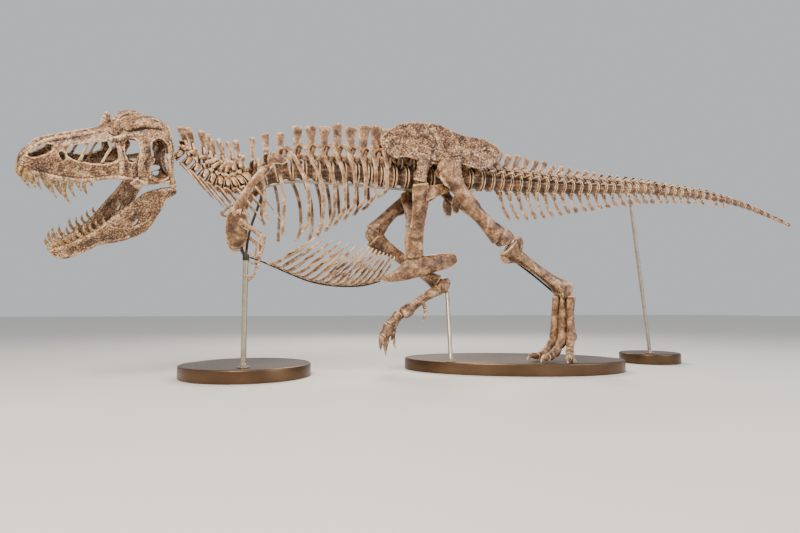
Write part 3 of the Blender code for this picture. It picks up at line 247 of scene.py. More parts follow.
# Permineralised bone, prepared, consolidated with a lacquer and stained: deep brown and mottled, with painted
# shade in its hollows and painted golden highlights on its raised places
def fossilBone(name, tones, lighter=0.0):
    material, tree, shader, place = blankMaterial(name, tones["roughness"])
    patches = addNode(tree, "ShaderNodeTexNoise", [("Vector", place)],
                      [("Scale", 1 / tones["patchSize"]), ("Detail", 6.0), ("Roughness", 0.60),
                       ("Distortion", 0.4)])
    blotches = addNode(tree, "ShaderNodeTexNoise", [("Vector", place)],
                       [("Scale", 1 / tones["blotchSize"]), ("Detail", 6.0), ("Roughness", 0.70)])
    mixed = addNode(tree, "ShaderNodeMath", [(0, blotches.outputs["Fac"]), (2, patches.outputs["Fac"])],
                    [(1, tones["blotchShare"])], operation="MULTIPLY_ADD")
    # Painted shade and highlight: the mesh's pointiness darkens hollows and creases and lightens raised
    # places, standing in for light and shade
    ridges = addNode(tree, "ShaderNodeNewGeometry").outputs["Pointiness"]
    paintedShadeAndHighlight = addNode(tree, "ShaderNodeMapRange", [("Value", ridges)],
                     [("From Min", 0.46), ("From Max", 0.54), ("To Min", -0.34), ("To Max", 0.30)])
    total = addNode(tree, "ShaderNodeMath", [(0, mixed.outputs[0]), (1, paintedShadeAndHighlight.outputs["Result"])],
                    operation="ADD")
    share = addNode(tree, "ShaderNodeMapRange", [("Value", total.outputs[0])],
                    [("From Min", 0.51 - lighter), ("From Max", 1.09 - lighter)])
    colour = rampOf(tree, share.outputs["Result"], [
        (0.0, tones["dark"]), (0.26, tones["brown"]), (0.48, tones["middle"]), (0.70, tones["tan"]),
        (1.0, tones["cream"])])
    cracks = addNode(tree, "ShaderNodeTexVoronoi", [("Vector", place)],
                     [("Scale", 1 / tones["crackSize"]), ("Randomness", 1.0)], feature="DISTANCE_TO_EDGE")
    line = addNode(tree, "ShaderNodeMapRange", [("Value", cracks.outputs["Distance"])],
                   [("From Min", 0.0), ("From Max", 0.05), ("To Min", 0.72), ("To Max", 1.0)])
    darker = addNode(tree, "ShaderNodeMix", [(0, line.outputs["Result"]), (7, colour)],
                     [(6, linear(tones["dark"]))], data_type="RGBA")
    tree.links.new(darker.outputs[2], shader.inputs["Base Color"])
    sheen = addNode(tree, "ShaderNodeMapRange", [("Value", blotches.outputs["Fac"])],
                    [("From Min", 0.3), ("From Max", 0.7), ("To Min", tones["roughness"] - 0.10),
                     ("To Max", tones["roughness"] + 0.14)])
    tree.links.new(sheen.outputs["Result"], shader.inputs["Roughness"])
    pits = addNode(tree, "ShaderNodeTexNoise", [("Vector", place)], [("Scale", 110.0), ("Detail", 5.0)])
    relief = addNode(tree, "ShaderNodeMath", [(0, pits.outputs["Fac"]), (1, line.outputs["Result"])],
                     operation="ADD")
    bump = addNode(tree, "ShaderNodeBump", [("Height", relief.outputs[0])],
                   [("Strength", 0.65), ("Distance", tones["crackDepth"])])
    tree.links.new(bump.outputs["Normal"], shader.inputs["Normal"])
    return material


bone = fossilBone("lacqueredFossilBone", boneTones)
skullBone = fossilBone("lacqueredSkullBone", boneTones, 0.04)


# Fossil enamel: smooth and glossy, honey brown with paler streaks
def toothEnamel(name):
    material, tree, shader, place = blankMaterial(name, 0.24)
    streaks = addNode(tree, "ShaderNodeTexNoise", [("Vector", place)], [("Scale", 30.0), ("Detail", 4.0)])
    colour = rampOf(tree, streaks.outputs["Fac"], [(0.30, "#5e3d22"), (0.5, "#a07a4c"), (0.72, "#d6bd94")])
    tree.links.new(colour, shader.inputs["Base Color"])
    return material


enamel = toothEnamel("polishedFossilEnamel")


# Sheet bronze rubbed with a brown patina, worn lighter in broad clouds
def patinatedBronze(name):
    material, tree, shader, place = blankMaterial(name, 0.36, 0.9)
    clouds = addNode(tree, "ShaderNodeTexNoise", [("Vector", place)],
                     [("Scale", 1.1), ("Detail", 6.0), ("Roughness", 0.55)])
    colour = rampOf(tree, clouds.outputs["Fac"], [(0.30, "#4b3828"), (0.52, "#5f4936"), (0.72, "#755c45")])
    tree.links.new(colour, shader.inputs["Base Color"])
    spots = addNode(tree, "ShaderNodeTexNoise", [("Vector", place)], [("Scale", 40.0), ("Detail", 5.0)])
    sheen = addNode(tree, "ShaderNodeMapRange", [("Value", spots.outputs["Fac"])],
                    [("From Min", 0.3), ("From Max", 0.7), ("To Min", 0.30), ("To Max", 0.44)])
    tree.links.new(sheen.outputs["Result"], shader.inputs["Roughness"])
    bump = addNode(tree, "ShaderNodeBump", [("Height", spots.outputs["Fac"])],
                   [("Strength", 0.12), ("Distance", 0.001)])
    tree.links.new(bump.outputs["Normal"], shader.inputs["Normal"])
    return material


# Drawn steel rod under a thin satin paint, with faint smudges
def satinSteel(name, light, dark, roughness, metallic):
    material, tree, shader, place = blankMaterial(name, roughness, metallic)
    smudges = addNode(tree, "ShaderNodeTexNoise", [("Vector", place)], [("Scale", 9.0), ("Detail", 4.0)])
    colour = rampOf(tree, smudges.outputs["Fac"], [(0.35, dark), (0.65, light)])
    tree.links.new(colour, shader.inputs["Base Color"])
    return material


bronze = patinatedBronze("brownPatinatedBronze")
steel = satinSteel("satinSteelRod", "#aca18e", "#978d7b", 0.36, 0.6)
darkSteel = satinSteel("blackenedSteel", "#3a342d", "#1d1a17", 0.45, 0.5)
print("materials ready")


# Vertebral column

spineLine = [
    (-3.54, -0.31, 2.835), (-3.41, -0.265, 2.725), (-3.27, -0.21, 2.62), (-3.15, -0.16, 2.54),
    (-3.03, -0.12, 2.49), (-2.87, -0.07, 2.47), (-2.72, -0.03, 2.51), (-2.54, 0, 2.595), (-2.35, 0, 2.67),
    (-2.15, 0, 2.73), (-1.96, 0, 2.76), (-1.42, 0, 2.775), (-0.80, 0, 2.775), (-0.20, 0, 2.786),
    (0.50, 0, 2.82), (1.37, 0, 2.82), (2.08, 0, 2.83), (2.83, 0, 2.855), (3.41, 0, 2.885), (4.02, 0, 2.89),
    (4.87, 0, 2.865), (5.53, 0, 2.79), (5.99, 0, 2.70), (6.46, 0, 2.57), (6.92, 0, 2.43)]

columnSizes = [         # x, body radius, spine height, fore-aft and lean, side process reach and rise, roll
    (-3.47, 0.075, 0.16, 0.036, -0.06, 0.10, 0.06, math.radians(24)),
    (-3.38, 0.080, 0.27, 0.036, -0.32, 0.12, 0.05, math.radians(22)),
    (-3.28, 0.084, 0.36, 0.034, -0.37, 0.14, 0.06, math.radians(18)),
    (-3.10, 0.092, 0.50, 0.030, -0.30, 0.18, 0.07, math.radians(12)),
    (-2.91, 0.100, 0.56, 0.026, -0.15, 0.20, 0.09, math.radians(5)),
    (-2.73, 0.110, 0.57, 0.026, 0.03, 0.22, 0.12, 0), (-2.53, 0.125, 0.54, 0.044, 0.17, 0.24, 0.21, 0),
    (-2.20, 0.133, 0.55, 0.062, 0.08, 0.25, 0.26, 0), (-1.90, 0.140, 0.63, 0.080, 0.02, 0.26, 0.30, 0),
    (-1.00, 0.158, 0.71, 0.094, 0.02, 0.24, 0.31, 0), (-0.40, 0.168, 0.72, 0.096, 0.02, 0.215, 0.28, 0),
    (0.60, 0.168, 0.55, 0.098, 0.06, 0.26, 0.10, 0), (0.90, 0.162, 0.47, 0.074, 0.10, 0.28, 0.08, 0),
    (1.50, 0.148, 0.40, 0.056, 0.12, 0.25, 0.07, 0), (2.10, 0.130, 0.30, 0.050, 0.12, 0.20, 0.05, 0),
    (3.00, 0.103, 0.20, 0.050, 0.10, 0.13, 0.03, 0), (4.20, 0.075, 0.12, 0.050, 0.07, 0.06, 0.02, 0),
    (5.60, 0.050, 0.068, 0.045, 0.04, 0.04, 0.0, 0), (6.90, 0.026, 0.024, 0.03, 0.02, 0.02, 0.0, 0)]

regions = dict(         # first and last x of the centres, number of vertebrae
    neck=(-3.46, -2.64, 10), back=(-2.53, -0.38, 13), sacrum=(-0.19, 0.61, 5), tail=(0.79, 6.86, 40))


# Values at x on straight runs between rows that start with x
def between(keys, x):
    rows = np.array(keys, float)
    return [float(np.interp(x, rows[:, 0], rows[:, c])) for c in range(1, rows.shape[1])]


spineCurve = alongKeys(spineLine, np.linspace(0, 1, 400))


def onSpine(x):
    i = int(np.clip(np.searchsorted(spineCurve[:, 0], x), 1, len(spineCurve) - 1))
    p, q = Vector(spineCurve[i - 1]), Vector(spineCurve[i])
    return p + (q - p) * ((x - p.x) / (q.x - p.x)), (q - p).normalized()


# Centre, direction to the tail, animal's left and up of the column at x
def spineFrame(x):
    centre, along = onSpine(x)
    rise = (up - along * up.dot(along)).normalized()
    rise = Matrix.Rotation(between(columnSizes, x)[6], 3, along) @ rise
    return centre, along, along.cross(rise), rise


def centresOf(region):
    first, last, count = regions[region]
    step = (last - first) / (count - 1)
    return [first + step * i for i in range(count)], step


vertebraShape = dict(
    gap=0.10,                 # share of a vertebra's length left between two bodies
    uneven=0.035,             # share by which the spines' heights differ
    rough=0.003,
    spool=[(1.0, 0.95), (0.86, 1.05), (0.60, 0.90), (0.30, 0.76), (0.0, 0.70)],    # shares: place, radius
    # arch and knob in shares of the radius, breadth of the spine's base and top, reach of the joints
    neck=dict(arch=1.50, base=1.05, top=1.25, knob=0.44, joint=1.80, out=0.62),
    back=dict(arch=1.35, base=0.66, top=0.98, knob=0.22, joint=1.25, out=0.42),
    sacrum=dict(arch=1.35, base=0.80, top=0.95, knob=0.20, joint=1.0, out=0.40),
    tail=dict(arch=1.35, base=0.78, top=1.0, knob=0.22, joint=1.45, out=0.40))


# Spool-shaped body, arch, joint processes before and behind, side processes and a neural spine
def vertebra(name, x, step, kind, index):
    own, spool = vertebraShape[kind], vertebraShape["spool"]
    r, height, foreAft, lean, reach, rise = between(columnSizes, x)[:6]
    centre, along, left, upward = spineFrame(x)
    half = step * (1 - vertebraShape["gap"]) / 2
    top = height * (1 + vertebraShape["uneven"] * math.sin(index * 2.4))
    tall = top - r
    parts = []

    # Bar through rows of places along, left and upward, half width and half depth
    def add(rows, hint=along, stock="coarse", ends=0.10):
        parts.append(layBar([key(centre + along * a + left * l + upward * u, wide, deep)
                             for a, l, u, wide, deep in rows], hint, stock, ends))

    add([(half * a, 0, 0, r * w, r * w * 0.95) for a, w in [(-a, w) for a, w in spool] + spool[-2::-1]],
        upward, "middle", 0.03)
    add([(0, 0, r * 0.3, half * 0.70, r * 0.56), (0, 0, r, half * 0.58, r * 0.42),
         (0, 0, r * own["arch"], half * 0.62, r * 0.40)])
    if height > r * 1.3:
        add([(half * 0.1, 0, r, foreAft * own["base"] * 1.1, r * 0.22),
             (lean * 0.35, 0, r + tall * 0.35, foreAft * own["base"], r * 0.13),
             (lean * 0.70, 0, r + tall * 0.70, foreAft * (own["base"] + own["top"]) * 0.48, r * 0.13),
             (lean * 0.92, 0, r + tall * 0.91, foreAft * own["top"], r * own["knob"]),
             (lean, 0, top, foreAft * own["top"] * 0.82, r * own["knob"] * 0.8)], along, "middle", 0.07)
    for out in (-1, 1):
        ahead, aside = half * own["joint"], out * r * own["out"]
        add([(-half * 0.1, out * r * 0.34, r * 0.95, r * 0.22, r * 0.17),
             (-ahead * 0.65, aside, r * 1.20, r * 0.19, r * 0.14),
             (-ahead, aside * 1.05, r * 1.48, r * 0.20, r * 0.08)], upward)
        add([(half * 0.1, out * r * 0.32, r * 1.20, r * 0.22, r * 0.17),
             (ahead * 0.60, aside * 0.80, r * 1.45, r * 0.20, r * 0.14),
             (ahead * 0.95, aside * 0.86, r * 1.62, r * 0.17, r * 0.09)], upward)
        if kind == "neck":                                        # wall of the arch, its shelf, rib's seats
            add([(lean * 0.10, out * r * 0.30, r + tall * 0.10, half * 0.60, r * 0.34),
                 (lean * 0.38, out * r * 0.52, r + tall * 0.38, half * 0.52, r * 0.26),
                 (lean * 0.58, out * r * 0.34, r + tall * 0.58, half * 0.34, r * 0.20)], along, "middle", 0.2)
            add([(lean * 0.34 - step * 0.62, out * r * 0.95, r + tall * 0.16, r * 0.26, r * 0.16),
                 (lean * 0.30, out * r * 0.78, r + tall * 0.34, r * 0.30, r * 0.20),
                 (lean * 0.40 + step * 0.58, out * r * 0.92, r + tall * 0.46, r * 0.28, r * 0.16)],
                upward, "middle", 0.2)
            add([(0, out * r * 0.45, r * 0.95, r * 0.40, r * 0.26),
                 (half * 0.1, out * r * 1.15, r * 0.55, r * 0.34, r * 0.20),
                 (half * 0.1, out * r * 1.50, -r * 0.15, r * 0.26, r * 0.15)], ends=0.15)
            add([(-half * 0.4, out * r * 0.6, -r * 0.35, r * 0.30, r * 0.24),
                 (-half * 0.3, out * r * 1.28, -r * 0.72, r * 0.24, r * 0.18)])
        elif reach > r * 1.2:
            low = r * (0.30 if kind == "tail" else 1.0)
            add([(0, out * r * 0.42, low, r * 0.38, r * 0.22),
                 (0, out * reach * 0.60, low + (rise - low) * 0.7, r * 0.26, r * 0.12),
                 (half * 0.20, out * reach, rise, r * 0.25, r * 0.11)], ends=0.15)
            if kind == "back":                                    # buttress under the side process
                add([(half * 0.35, out * r * 0.40, r * 0.6, r * 0.12, r * 0.12),
                     (half * 0.2, out * reach * 0.62, r + (rise - r) * 0.55, r * 0.10, r * 0.10)])
    voxel = 0.0085 if r > 0.06 else 0.0055
    return fuse(name, parts, voxel, 2, vertebraShape["rough"] * min(1, r / 0.08), 0.04)


# Long thin rib that trails back and down below the neck, each longer than the one before
def neckRib(name, x, out, i):
    centre, along, left, upward = spineFrame(x)
    radius = between(columnSizes, x)[0]
    reach = 0.20 + 0.035 * i
    root = centre + left * (out * radius * 1.45) - upward * (radius * 0.62)
    flare = left * (out * 0.03)
    keys = [key(root - along * 0.05, 0.018, 0.014), key(root + along * 0.01, 0.030, 0.020),
            key(root + Vector((reach * 0.30, 0, -reach * 0.34)) + flare, 0.018, 0.013),
            key(root + Vector((reach * 0.70, 0, -reach * 0.84)) + flare, 0.009, 0.007)]
    return fuse(name, [layBar(keys, left, "middle", 0.06)], 0.0055, 2, 0.0012)


ribCount = 10
ribShape = [            # rib number, half width at the bulge, height and half width of the tip, sweep of both
    (0, 0.36, 2.04, 0.34, 0.10, 0.15), (1, 0.42, 1.82, 0.38, 0.16, 0.15), (2, 0.48, 1.85, 0.41, 0.29, 0.21),
    (3, 0.54, 1.86, 0.45, 0.28, 0.22), (4, 0.58, 1.93, 0.47, 0.24, 0.16), (6, 0.60, 2.11, 0.49, 0.14, 0.05),
    (8, 0.57, 2.27, 0.48, 0.06, -0.02), (9, 0.54, 2.36, 0.46, 0.04, -0.07)]
ribBow = [              # shares of the drop, of the bulge and of the sweep, half thickness
    (0.10, 0.68, 0.25, 0.022), (0.24, 0.90, 0.52, 0.018), (0.38, 0.985, 0.78, 0.016),
    (0.54, 1.0, 0.95, 0.015), (0.70, 0.965, 1.0, 0.015), (0.86, 0.91, 0.97, 0.016)]


# Two-headed rib: head on the body, knob under the process, then a flat shaft that bows out and back
def rib(name, number, x, side):
    bulge, tipZ, tipY, bulgeSweep, tipSweep = between(ribShape, number)
    sizes = between(columnSizes, x)
    radius, reach, rise = sizes[0], sizes[4], sizes[5]
    centre = onSpine(x)[0]
    shoulder = centre.z + rise
    thick = 0.030 if number > 1 else 0.025
    keys = [(centre.x, side * reach * 0.90, shoulder - 0.022, radius * 0.19, 0.026),
            (centre.x + 0.02, side * (reach + 0.035), shoulder - 0.018, thick * 1.2, 0.028)]
    for share, out, sweep, flat in ribBow:
        y = reach + (bulge - reach) * out if share < 0.2 else bulge * out
        keys.append((centre.x + bulgeSweep * sweep, side * y, shoulder - (shoulder - tipZ) * share,
                     thick * (1.0 - 0.22 * share), flat))
    keys.append((centre.x + tipSweep, side * tipY, tipZ, 0.026, 0.018))
    head = [(centre.x - 0.015, side * radius * 0.95, centre.z + radius * 0.55, 0.028, 0.024),
            (centre.x - 0.005, side * (radius + reach) * 0.52, centre.z + rise * 0.62, 0.022, 0.017),
            (centre.x + 0.015, side * (reach + 0.03), shoulder - 0.035, 0.030, 0.022)]
    return fuse(name, [layBar(keys, tailward, "fine", 0.02), layBar(head, tailward, "coarse")],
                0.0065, 2, 0.0014)


chevronCount = 29
chevronSizes = [        # x, depth, foot length, sweep
    (0.95, 0.42, 0.07, 0.16), (1.50, 0.40, 0.08, 0.14), (2.10, 0.32, 0.09, 0.11), (2.80, 0.24, 0.11, 0.07),
    (3.60, 0.17, 0.12, 0.05), (4.80, 0.11, 0.09, 0.02), (6.00, 0.06, 0.06, 0.01)]


# Two arms that meet below the blood canal and run on as one blade, its foot longer toward the tail's end
def chevron(name, x, step):
    behind = x + step * 0.5
    centre, along, left, upward = spineFrame(behind)
    radius = between(columnSizes, behind)[0]
    depth, foot, sweep = between(chevronSizes, behind)
    fork = centre + along * (sweep * 0.25) - upward * (radius * 0.95 + depth * 0.30)
    tip = centre + along * sweep - upward * (radius + depth)
    parts = [layBar([key(centre + left * (out * radius * 0.36) - upward * (radius * 0.90),
                         radius * 0.20, radius * 0.12), key(fork, 0.027, 0.016)], along, "coarse")
             for out in (-1, 1)]
    parts.append(layBar([key(fork + upward * 0.01, 0.027, 0.016),
                         key(fork.lerp(tip, 0.5) - along * 0.014, 0.027, 0.016),
                         key(tip + upward * 0.05, foot * 0.44, 0.015), key(tip, foot * 0.52, 0.012)],
                        along, "middle", 0.08))
    return fuse(name, parts, 0.0065, 2, 0.0018, 0.04)


for kind, title in (("neck", "cervical"), ("back", "dorsal"), ("sacrum", "sacral"), ("tail", "caudal")):
    centres, step = centresOf(kind)
    for i, x in enumerate(centres):
        node = dict(back=("torso_left", "torso_right"), tail="tail_%d" % (i // 10 + 1)).get(kind, kind)
        keep(vertebra("%s_%d" % (title, i + 1), x, step, kind, i), node, bone)
        if kind == "tail" and 0 < i <= chevronCount:
            keep(chevron("chevron_%d" % i, x, step), node, bone)
        for word, side in sides:
            if kind == "neck" and i:
                keep(neckRib("cervical_rib_%d_%s" % (i + 1, word), x, -side, i), "neck", bone)
            elif kind == "back" and i < ribCount:
                keep(rib("rib_%d_%s" % (i + 1, word), i, x, side), "torso_" + word, bone)
    print(kind, "made")


# Belly ribs

bellyLine = [(-2.44, 1.52), (-2.13, 1.39), (-1.80, 1.265), (-1.46, 1.21), (-1.11, 1.215), (-0.83, 1.285)]
bellyRibs = dict(
    rows=15, first=-2.30, pitch=0.104, lap=0.140, above=0.024,
    shape=[(0, 0.50, 1.80, 0.47), (6, 0.52, 1.72, 0.50), (10, 0.32, 1.66, 0.44), (14, 0.12, 1.60, 0.36)])


# Inner rod that crosses the midline below, and a thinner outer rod lapped along it
def bellyRib(name, row, side):
    run, endZ, endY = between(bellyRibs["shape"], row)
    x = bellyRibs["first"] + bellyRibs["pitch"] * row
    z = between(bellyLine, x)[0] + bellyRibs["above"]
    ahead = between(bellyLine, x - 0.09)[0] + bellyRibs["above"] + 0.004 * side
    bent = 0.012 * math.sin(row * 1.9 + side)
    tall = endZ - z
    inner = [(x - 0.09, -side * 0.035, ahead, 0.013, 0.012), (x, side * 0.038, z, 0.019, 0.016),
             (x + run * 0.26, side * endY * 0.42, z + tall * 0.20 + bent, 0.020, 0.015),
             (x + run * 0.60, side * endY * 0.80, z + tall * 0.52, 0.011, 0.010)]
    outer = [(x + run * 0.34, side * endY * 0.50, z + tall * 0.28 + 0.02, 0.010, 0.008),
             (x + run * 0.56, side * endY * 0.78, z + tall * 0.49 + 0.012, 0.016, 0.013),
             (x + run * 0.80, side * endY * 0.93, z + tall * 0.75, 0.015, 0.012),
             (x + run, side * endY, endZ, 0.010, 0.009)]
    return fuse(name, [layBar(keys, up, "middle", 0.05) for keys in (inner, outer)], 0.0055, 1, 0.0012)


for row in range(bellyRibs["rows"]):
    for word, side in sides:
        keep(bellyRib("belly_rib_%d_%s" % (row + 1, word), row, side), "gastralia_" + word, bone)
print("belly ribs made")


# Head

headPose = dict(point=(-3.60, -0.30, 2.832), yaw=27, pitch=12.4, roll=27)


def headAxes():
    yaw, pitch, roll = (math.radians(headPose[k]) for k in ("yaw", "pitch", "roll"))
    forward = Vector((-math.cos(yaw) * math.cos(pitch), -math.sin(yaw) * math.cos(pitch), -math.sin(pitch)))
    level = forward.cross(up).normalized()
    if level.y > 0:
        level = -level
    roof = level.cross(forward)
    if roof.z < 0:
        roof = -roof
    turned = level * math.cos(roll) - roof * math.sin(roll)
    return forward, turned, roof * math.cos(roll) + level * math.sin(roll)


snoutward, headLeft, headUp = headAxes()
headPoint = Vector(headPose["point"])


def inHead(s, w, n):
    return headPoint + snoutward * s + headLeft * w + headUp * n


skullStations = [       # place along the skull, roof, lower edge, half widths of roof, cheek and lower edge
    (1.51, -0.11, -0.17, 0.02, 0.04, 0.04), (1.485, -0.05, -0.185, 0.05, 0.075, 0.075),
    (1.447, 0.00, -0.20, 0.06, 0.10, 0.10), (1.385, 0.05, -0.22, 0.06, 0.12, 0.125),
    (1.25, 0.12, -0.26, 0.06, 0.14, 0.145), (1.08, 0.15, -0.30, 0.07, 0.16, 0.17),
    (0.94, 0.17, -0.31, 0.08, 0.19, 0.20), (0.80, 0.20, -0.275, 0.10, 0.22, 0.25),
    (0.65, 0.25, -0.265, 0.14, 0.26, 0.29), (0.52, 0.29, -0.30, 0.18, 0.31, 0.33),
    (0.40, 0.34, -0.34, 0.20, 0.36, 0.37), (0.28, 0.37, -0.33, 0.19, 0.38, 0.39),
    (0.15, 0.365, -0.30, 0.20, 0.39, 0.40), (0.05, 0.33, -0.28, 0.20, 0.37, 0.36)]


# Closed skin through rings of equal length: a mesh circle extruded from ring to ring
def loft(rings):
    count = len(rings[0])
    deselect()
    bpy.ops.mesh.primitive_circle_add(vertices=count, radius=1, fill_type="NGON", location=(0, 0, 0))
    obj = bpy.context.object
    bpy.ops.object.mode_set(mode="EDIT")
    for ring in rings[1:]:
        bpy.ops.mesh.extrude_region_move(TRANSFORM_OT_translate={"value": (0, 0, 1)})
    bpy.ops.object.mode_set(mode="OBJECT")
    flat = np.array([tuple(p) for ring in rings for p in ring], float)
    order = np.zeros(len(obj.data.vertices), int)
    for vert in obj.data.vertices:
        level = int(round(vert.co.z))
        angle = (math.atan2(vert.co.y, vert.co.x) - math.pi / 2) % (2 * math.pi)
        order[vert.index] = level * count + int(round(angle / (2 * math.pi) * count)) % count
    obj.data.vertices.foreach_set("co", flat[order].ravel())
    bpy.ops.object.mode_set(mode="EDIT")
    bpy.ops.mesh.select_all(action="SELECT")
    bpy.ops.mesh.normals_make_consistent(inside=False)
    bpy.ops.object.mode_set(mode="OBJECT")
    return obj


# Eighteen points round the skull, the palate arched between the tooth rows
def skullRing(s, roof, low, roofWide, cheekWide, lowWide, inset=0.0):
    cheek = low + (roof - low) * 0.55
    roof -= inset
    low += inset * 0.6
    wall = inset * 0.85
    flare = cheekWide - roofWide
    half = [(0.0, roof + 0.004), (max(roofWide - wall, 0.01) * 0.7, roof),
            (max(roofWide - wall, 0.012), roof - 0.016),
            (max(roofWide + flare * 0.62 - wall, 0.014), cheek + (roof - cheek) * 0.66),
            (max(roofWide + flare * 0.90 - wall, 0.016), cheek + (roof - cheek) * 0.30),
            (max(cheekWide - wall, 0.016), cheek - 0.02), (max(lowWide - wall, 0.016), low + 0.045),
            (max(lowWide - 0.022 - wall, 0.012), low), (max(lowWide - 0.05 - wall, 0.008), low + 0.012)]
    middle = (0.0, low + 0.05 + lowWide * 0.08)
    ring = half + [middle] + [(-w, n) for w, n in reversed(half[1:])]
    return [inHead(s, w, n) for w, n in ring]


# Cutter with a rounded outline drawn in the head frame, from low to high along axis w, n or s
def windowCutter(outline, low, high, axis="w"):
    count = 4 * len(outline)
    points = []
    for i in range(count):
        place = i * len(outline) / count
        j = int(place)
        around = [np.array(outline[(j + d) % len(outline)], float) for d in (-1, 0, 1, 2)]
        points.append(catmullRom(*around, place - j))
    turn = dict(w=lambda level, a, b: inHead(a, level, b), n=lambda level, a, b: inHead(a, b, level),
                s=lambda level, a, b: inHead(level, a, b))[axis]
    return loft([[turn(level, a, b) for a, b in points] for level in np.linspace(low, high, 4)])


def oval(a, b, halfA, halfB, tilt=0, count=8):
    points = []
    for i in range(count):
        angle = 2 * math.pi * i / count
        x, y = halfA * math.cos(angle), halfB * math.sin(angle)
        points.append((a + x * math.cos(tilt) - y * math.sin(tilt),
                       b + x * math.sin(tilt) + y * math.cos(tilt)))
    return points


skullWall = 0.045
skullWindows = [        # how far in and out each one is cut, and its outline
    (0.02, 0.5, oval(1.315, 0.012, 0.125, 0.045, math.radians(-24))),                     # nostril
    (0.03, 0.5, [(1.09, -0.02), (1.05, 0.06), (0.92, 0.10), (0.78, 0.12), (0.66, 0.14), (0.615, 0.08),
                 (0.62, -0.04), (0.68, -0.085), (0.79, -0.110), (0.92, -0.100), (1.03, -0.075)]),
    (0.10, 0.5, [(1.165, -0.01), (1.145, 0.015), (1.115, 0.0), (1.105, -0.05), (1.125, -0.085),
                 (1.15, -0.06)]),
    (0.10, 0.6, [(0.545, 0.15), (0.49, 0.19), (0.43, 0.16), (0.41, 0.07), (0.445, 0.0), (0.475, -0.06),
                 (0.52, -0.07), (0.55, -0.02), (0.56, 0.06)]),                            # eye
    (0.12, 0.6, [(0.30, 0.15), (0.21, 0.205), (0.125, 0.13), (0.115, 0.02), (0.165, -0.05), (0.125, -0.13),
                 (0.115, -0.22), (0.20, -0.265), (0.30, -0.235), (0.325, -0.12), (0.275, -0.035),
                 (0.31, 0.05)])]
palateWindow = [(0.12, -0.10), (0.12, 0.10), (0.70, 0.12), (1.25, 0.05), (1.25, -0.05), (0.70, -0.12)]
skullStruts = dict(     # on both sides: hint, stock, ends, then rows of place, out, height and half widths
    lacrimalHorn=(snoutward, "middle", 0.06, [
        (0.62, 0.16, 0.20, 0.060, 0.040), (0.60, 0.17, 0.28, 0.055, 0.034),
        (0.585, 0.175, 0.34, 0.034, 0.022), (0.60, 0.18, 0.375, 0.014, 0.010)]),
    eyeBoss=(headUp, "middle", 0.12, [
        (0.52, 0.195, 0.262, 0.026, 0.030), (0.44, 0.215, 0.318, 0.046, 0.050),
        (0.34, 0.225, 0.350, 0.050, 0.060), (0.24, 0.235, 0.335, 0.044, 0.050),
        (0.15, 0.25, 0.29, 0.024, 0.028)]),
    barBeforeEye=(snoutward, "middle", 0.06, [
        (0.62, 0.225, 0.16, 0.03, 0.022), (0.60, 0.27, 0.0, 0.026, 0.022),
        (0.585, 0.30, -0.20, 0.045, 0.020)]),
    barBehindEye=(snoutward, "middle", 0.06, [
        (0.385, 0.27, 0.22, 0.050, 0.028), (0.375, 0.355, 0.06, 0.058, 0.024),
        (0.42, 0.36, -0.06, 0.034, 0.020), (0.40, 0.36, -0.22, 0.060, 0.020)]),
    cheekArch=(headUp, "middle", 0.06, [
        (0.34, 0.372, -0.22, 0.030, 0.018), (0.22, 0.382, -0.285, 0.022, 0.018),
        (0.10, 0.378, -0.29, 0.026, 0.020)]),
    quadrate=(snoutward, "middle", 0.06, [
        (0.10, 0.34, 0.18, 0.030, 0.022), (0.105, 0.375, 0.04, 0.022, 0.022),
        (0.125, 0.385, -0.05, 0.026, 0.022), (0.095, 0.385, -0.18, 0.022, 0.024),
        (0.060, 0.372, -0.375, 0.048, 0.042)]),
    nasalRidge=(headUp, "middle", 0.06, [
        (1.36, 0.070, 0.045, 0.018, 0.016), (1.25, 0.060, 0.105, 0.024, 0.018),
        (1.05, 0.06, 0.140, 0.028, 0.020), (0.75, 0.075, 0.200, 0.028, 0.018)]),
    palate=(headUp, "coarse", 0.06, [
        (1.20, 0.05, -0.20, 0.02, 0.02), (0.9, 0.07, -0.16, 0.022, 0.02), (0.55, 0.12, -0.14, 0.026, 0.022),
        (0.2, 0.16, -0.12, 0.035, 0.025)]),
    frontWindowStrut=(snoutward, "coarse", 0.06, [
        (0.99, 0.15, -0.12, 0.020, 0.012), (0.93, 0.14, 0.0, 0.016, 0.012),
        (0.88, 0.12, 0.10, 0.02, 0.014)]),
    rearWindowStrut=(snoutward, "coarse", 0.06, [
        (0.80, 0.20, -0.17, 0.022, 0.014), (0.74, 0.20, -0.04, 0.014, 0.012),
        (0.66, 0.19, 0.08, 0.02, 0.014)]),
    brow=(headUp, "middle", 0.06, [
        (0.70, 0.235, 0.145, 0.030, 0.018), (0.58, 0.245, 0.19, 0.030, 0.020),
        (0.46, 0.265, 0.215, 0.026, 0.020)]),
    flangeBelowEye=(snoutward, "middle", 0.06, [
        (0.50, 0.350, -0.26, 0.060, 0.020), (0.455, 0.362, -0.33, 0.040, 0.020),
        (0.435, 0.362, -0.37, 0.018, 0.014)]),
    toothRim=(headUp, "fine", 0.02, [
        (1.41, 0.118, -0.20, 0.02, 0.016), (1.18, 0.160, -0.272, 0.028, 0.020),
        (0.95, 0.195, -0.292, 0.026, 0.020), (0.72, 0.265, -0.245, 0.024, 0.018),
        (0.55, 0.32, -0.262, 0.030, 0.022), (0.35, 0.372, -0.305, 0.030, 0.022)]))
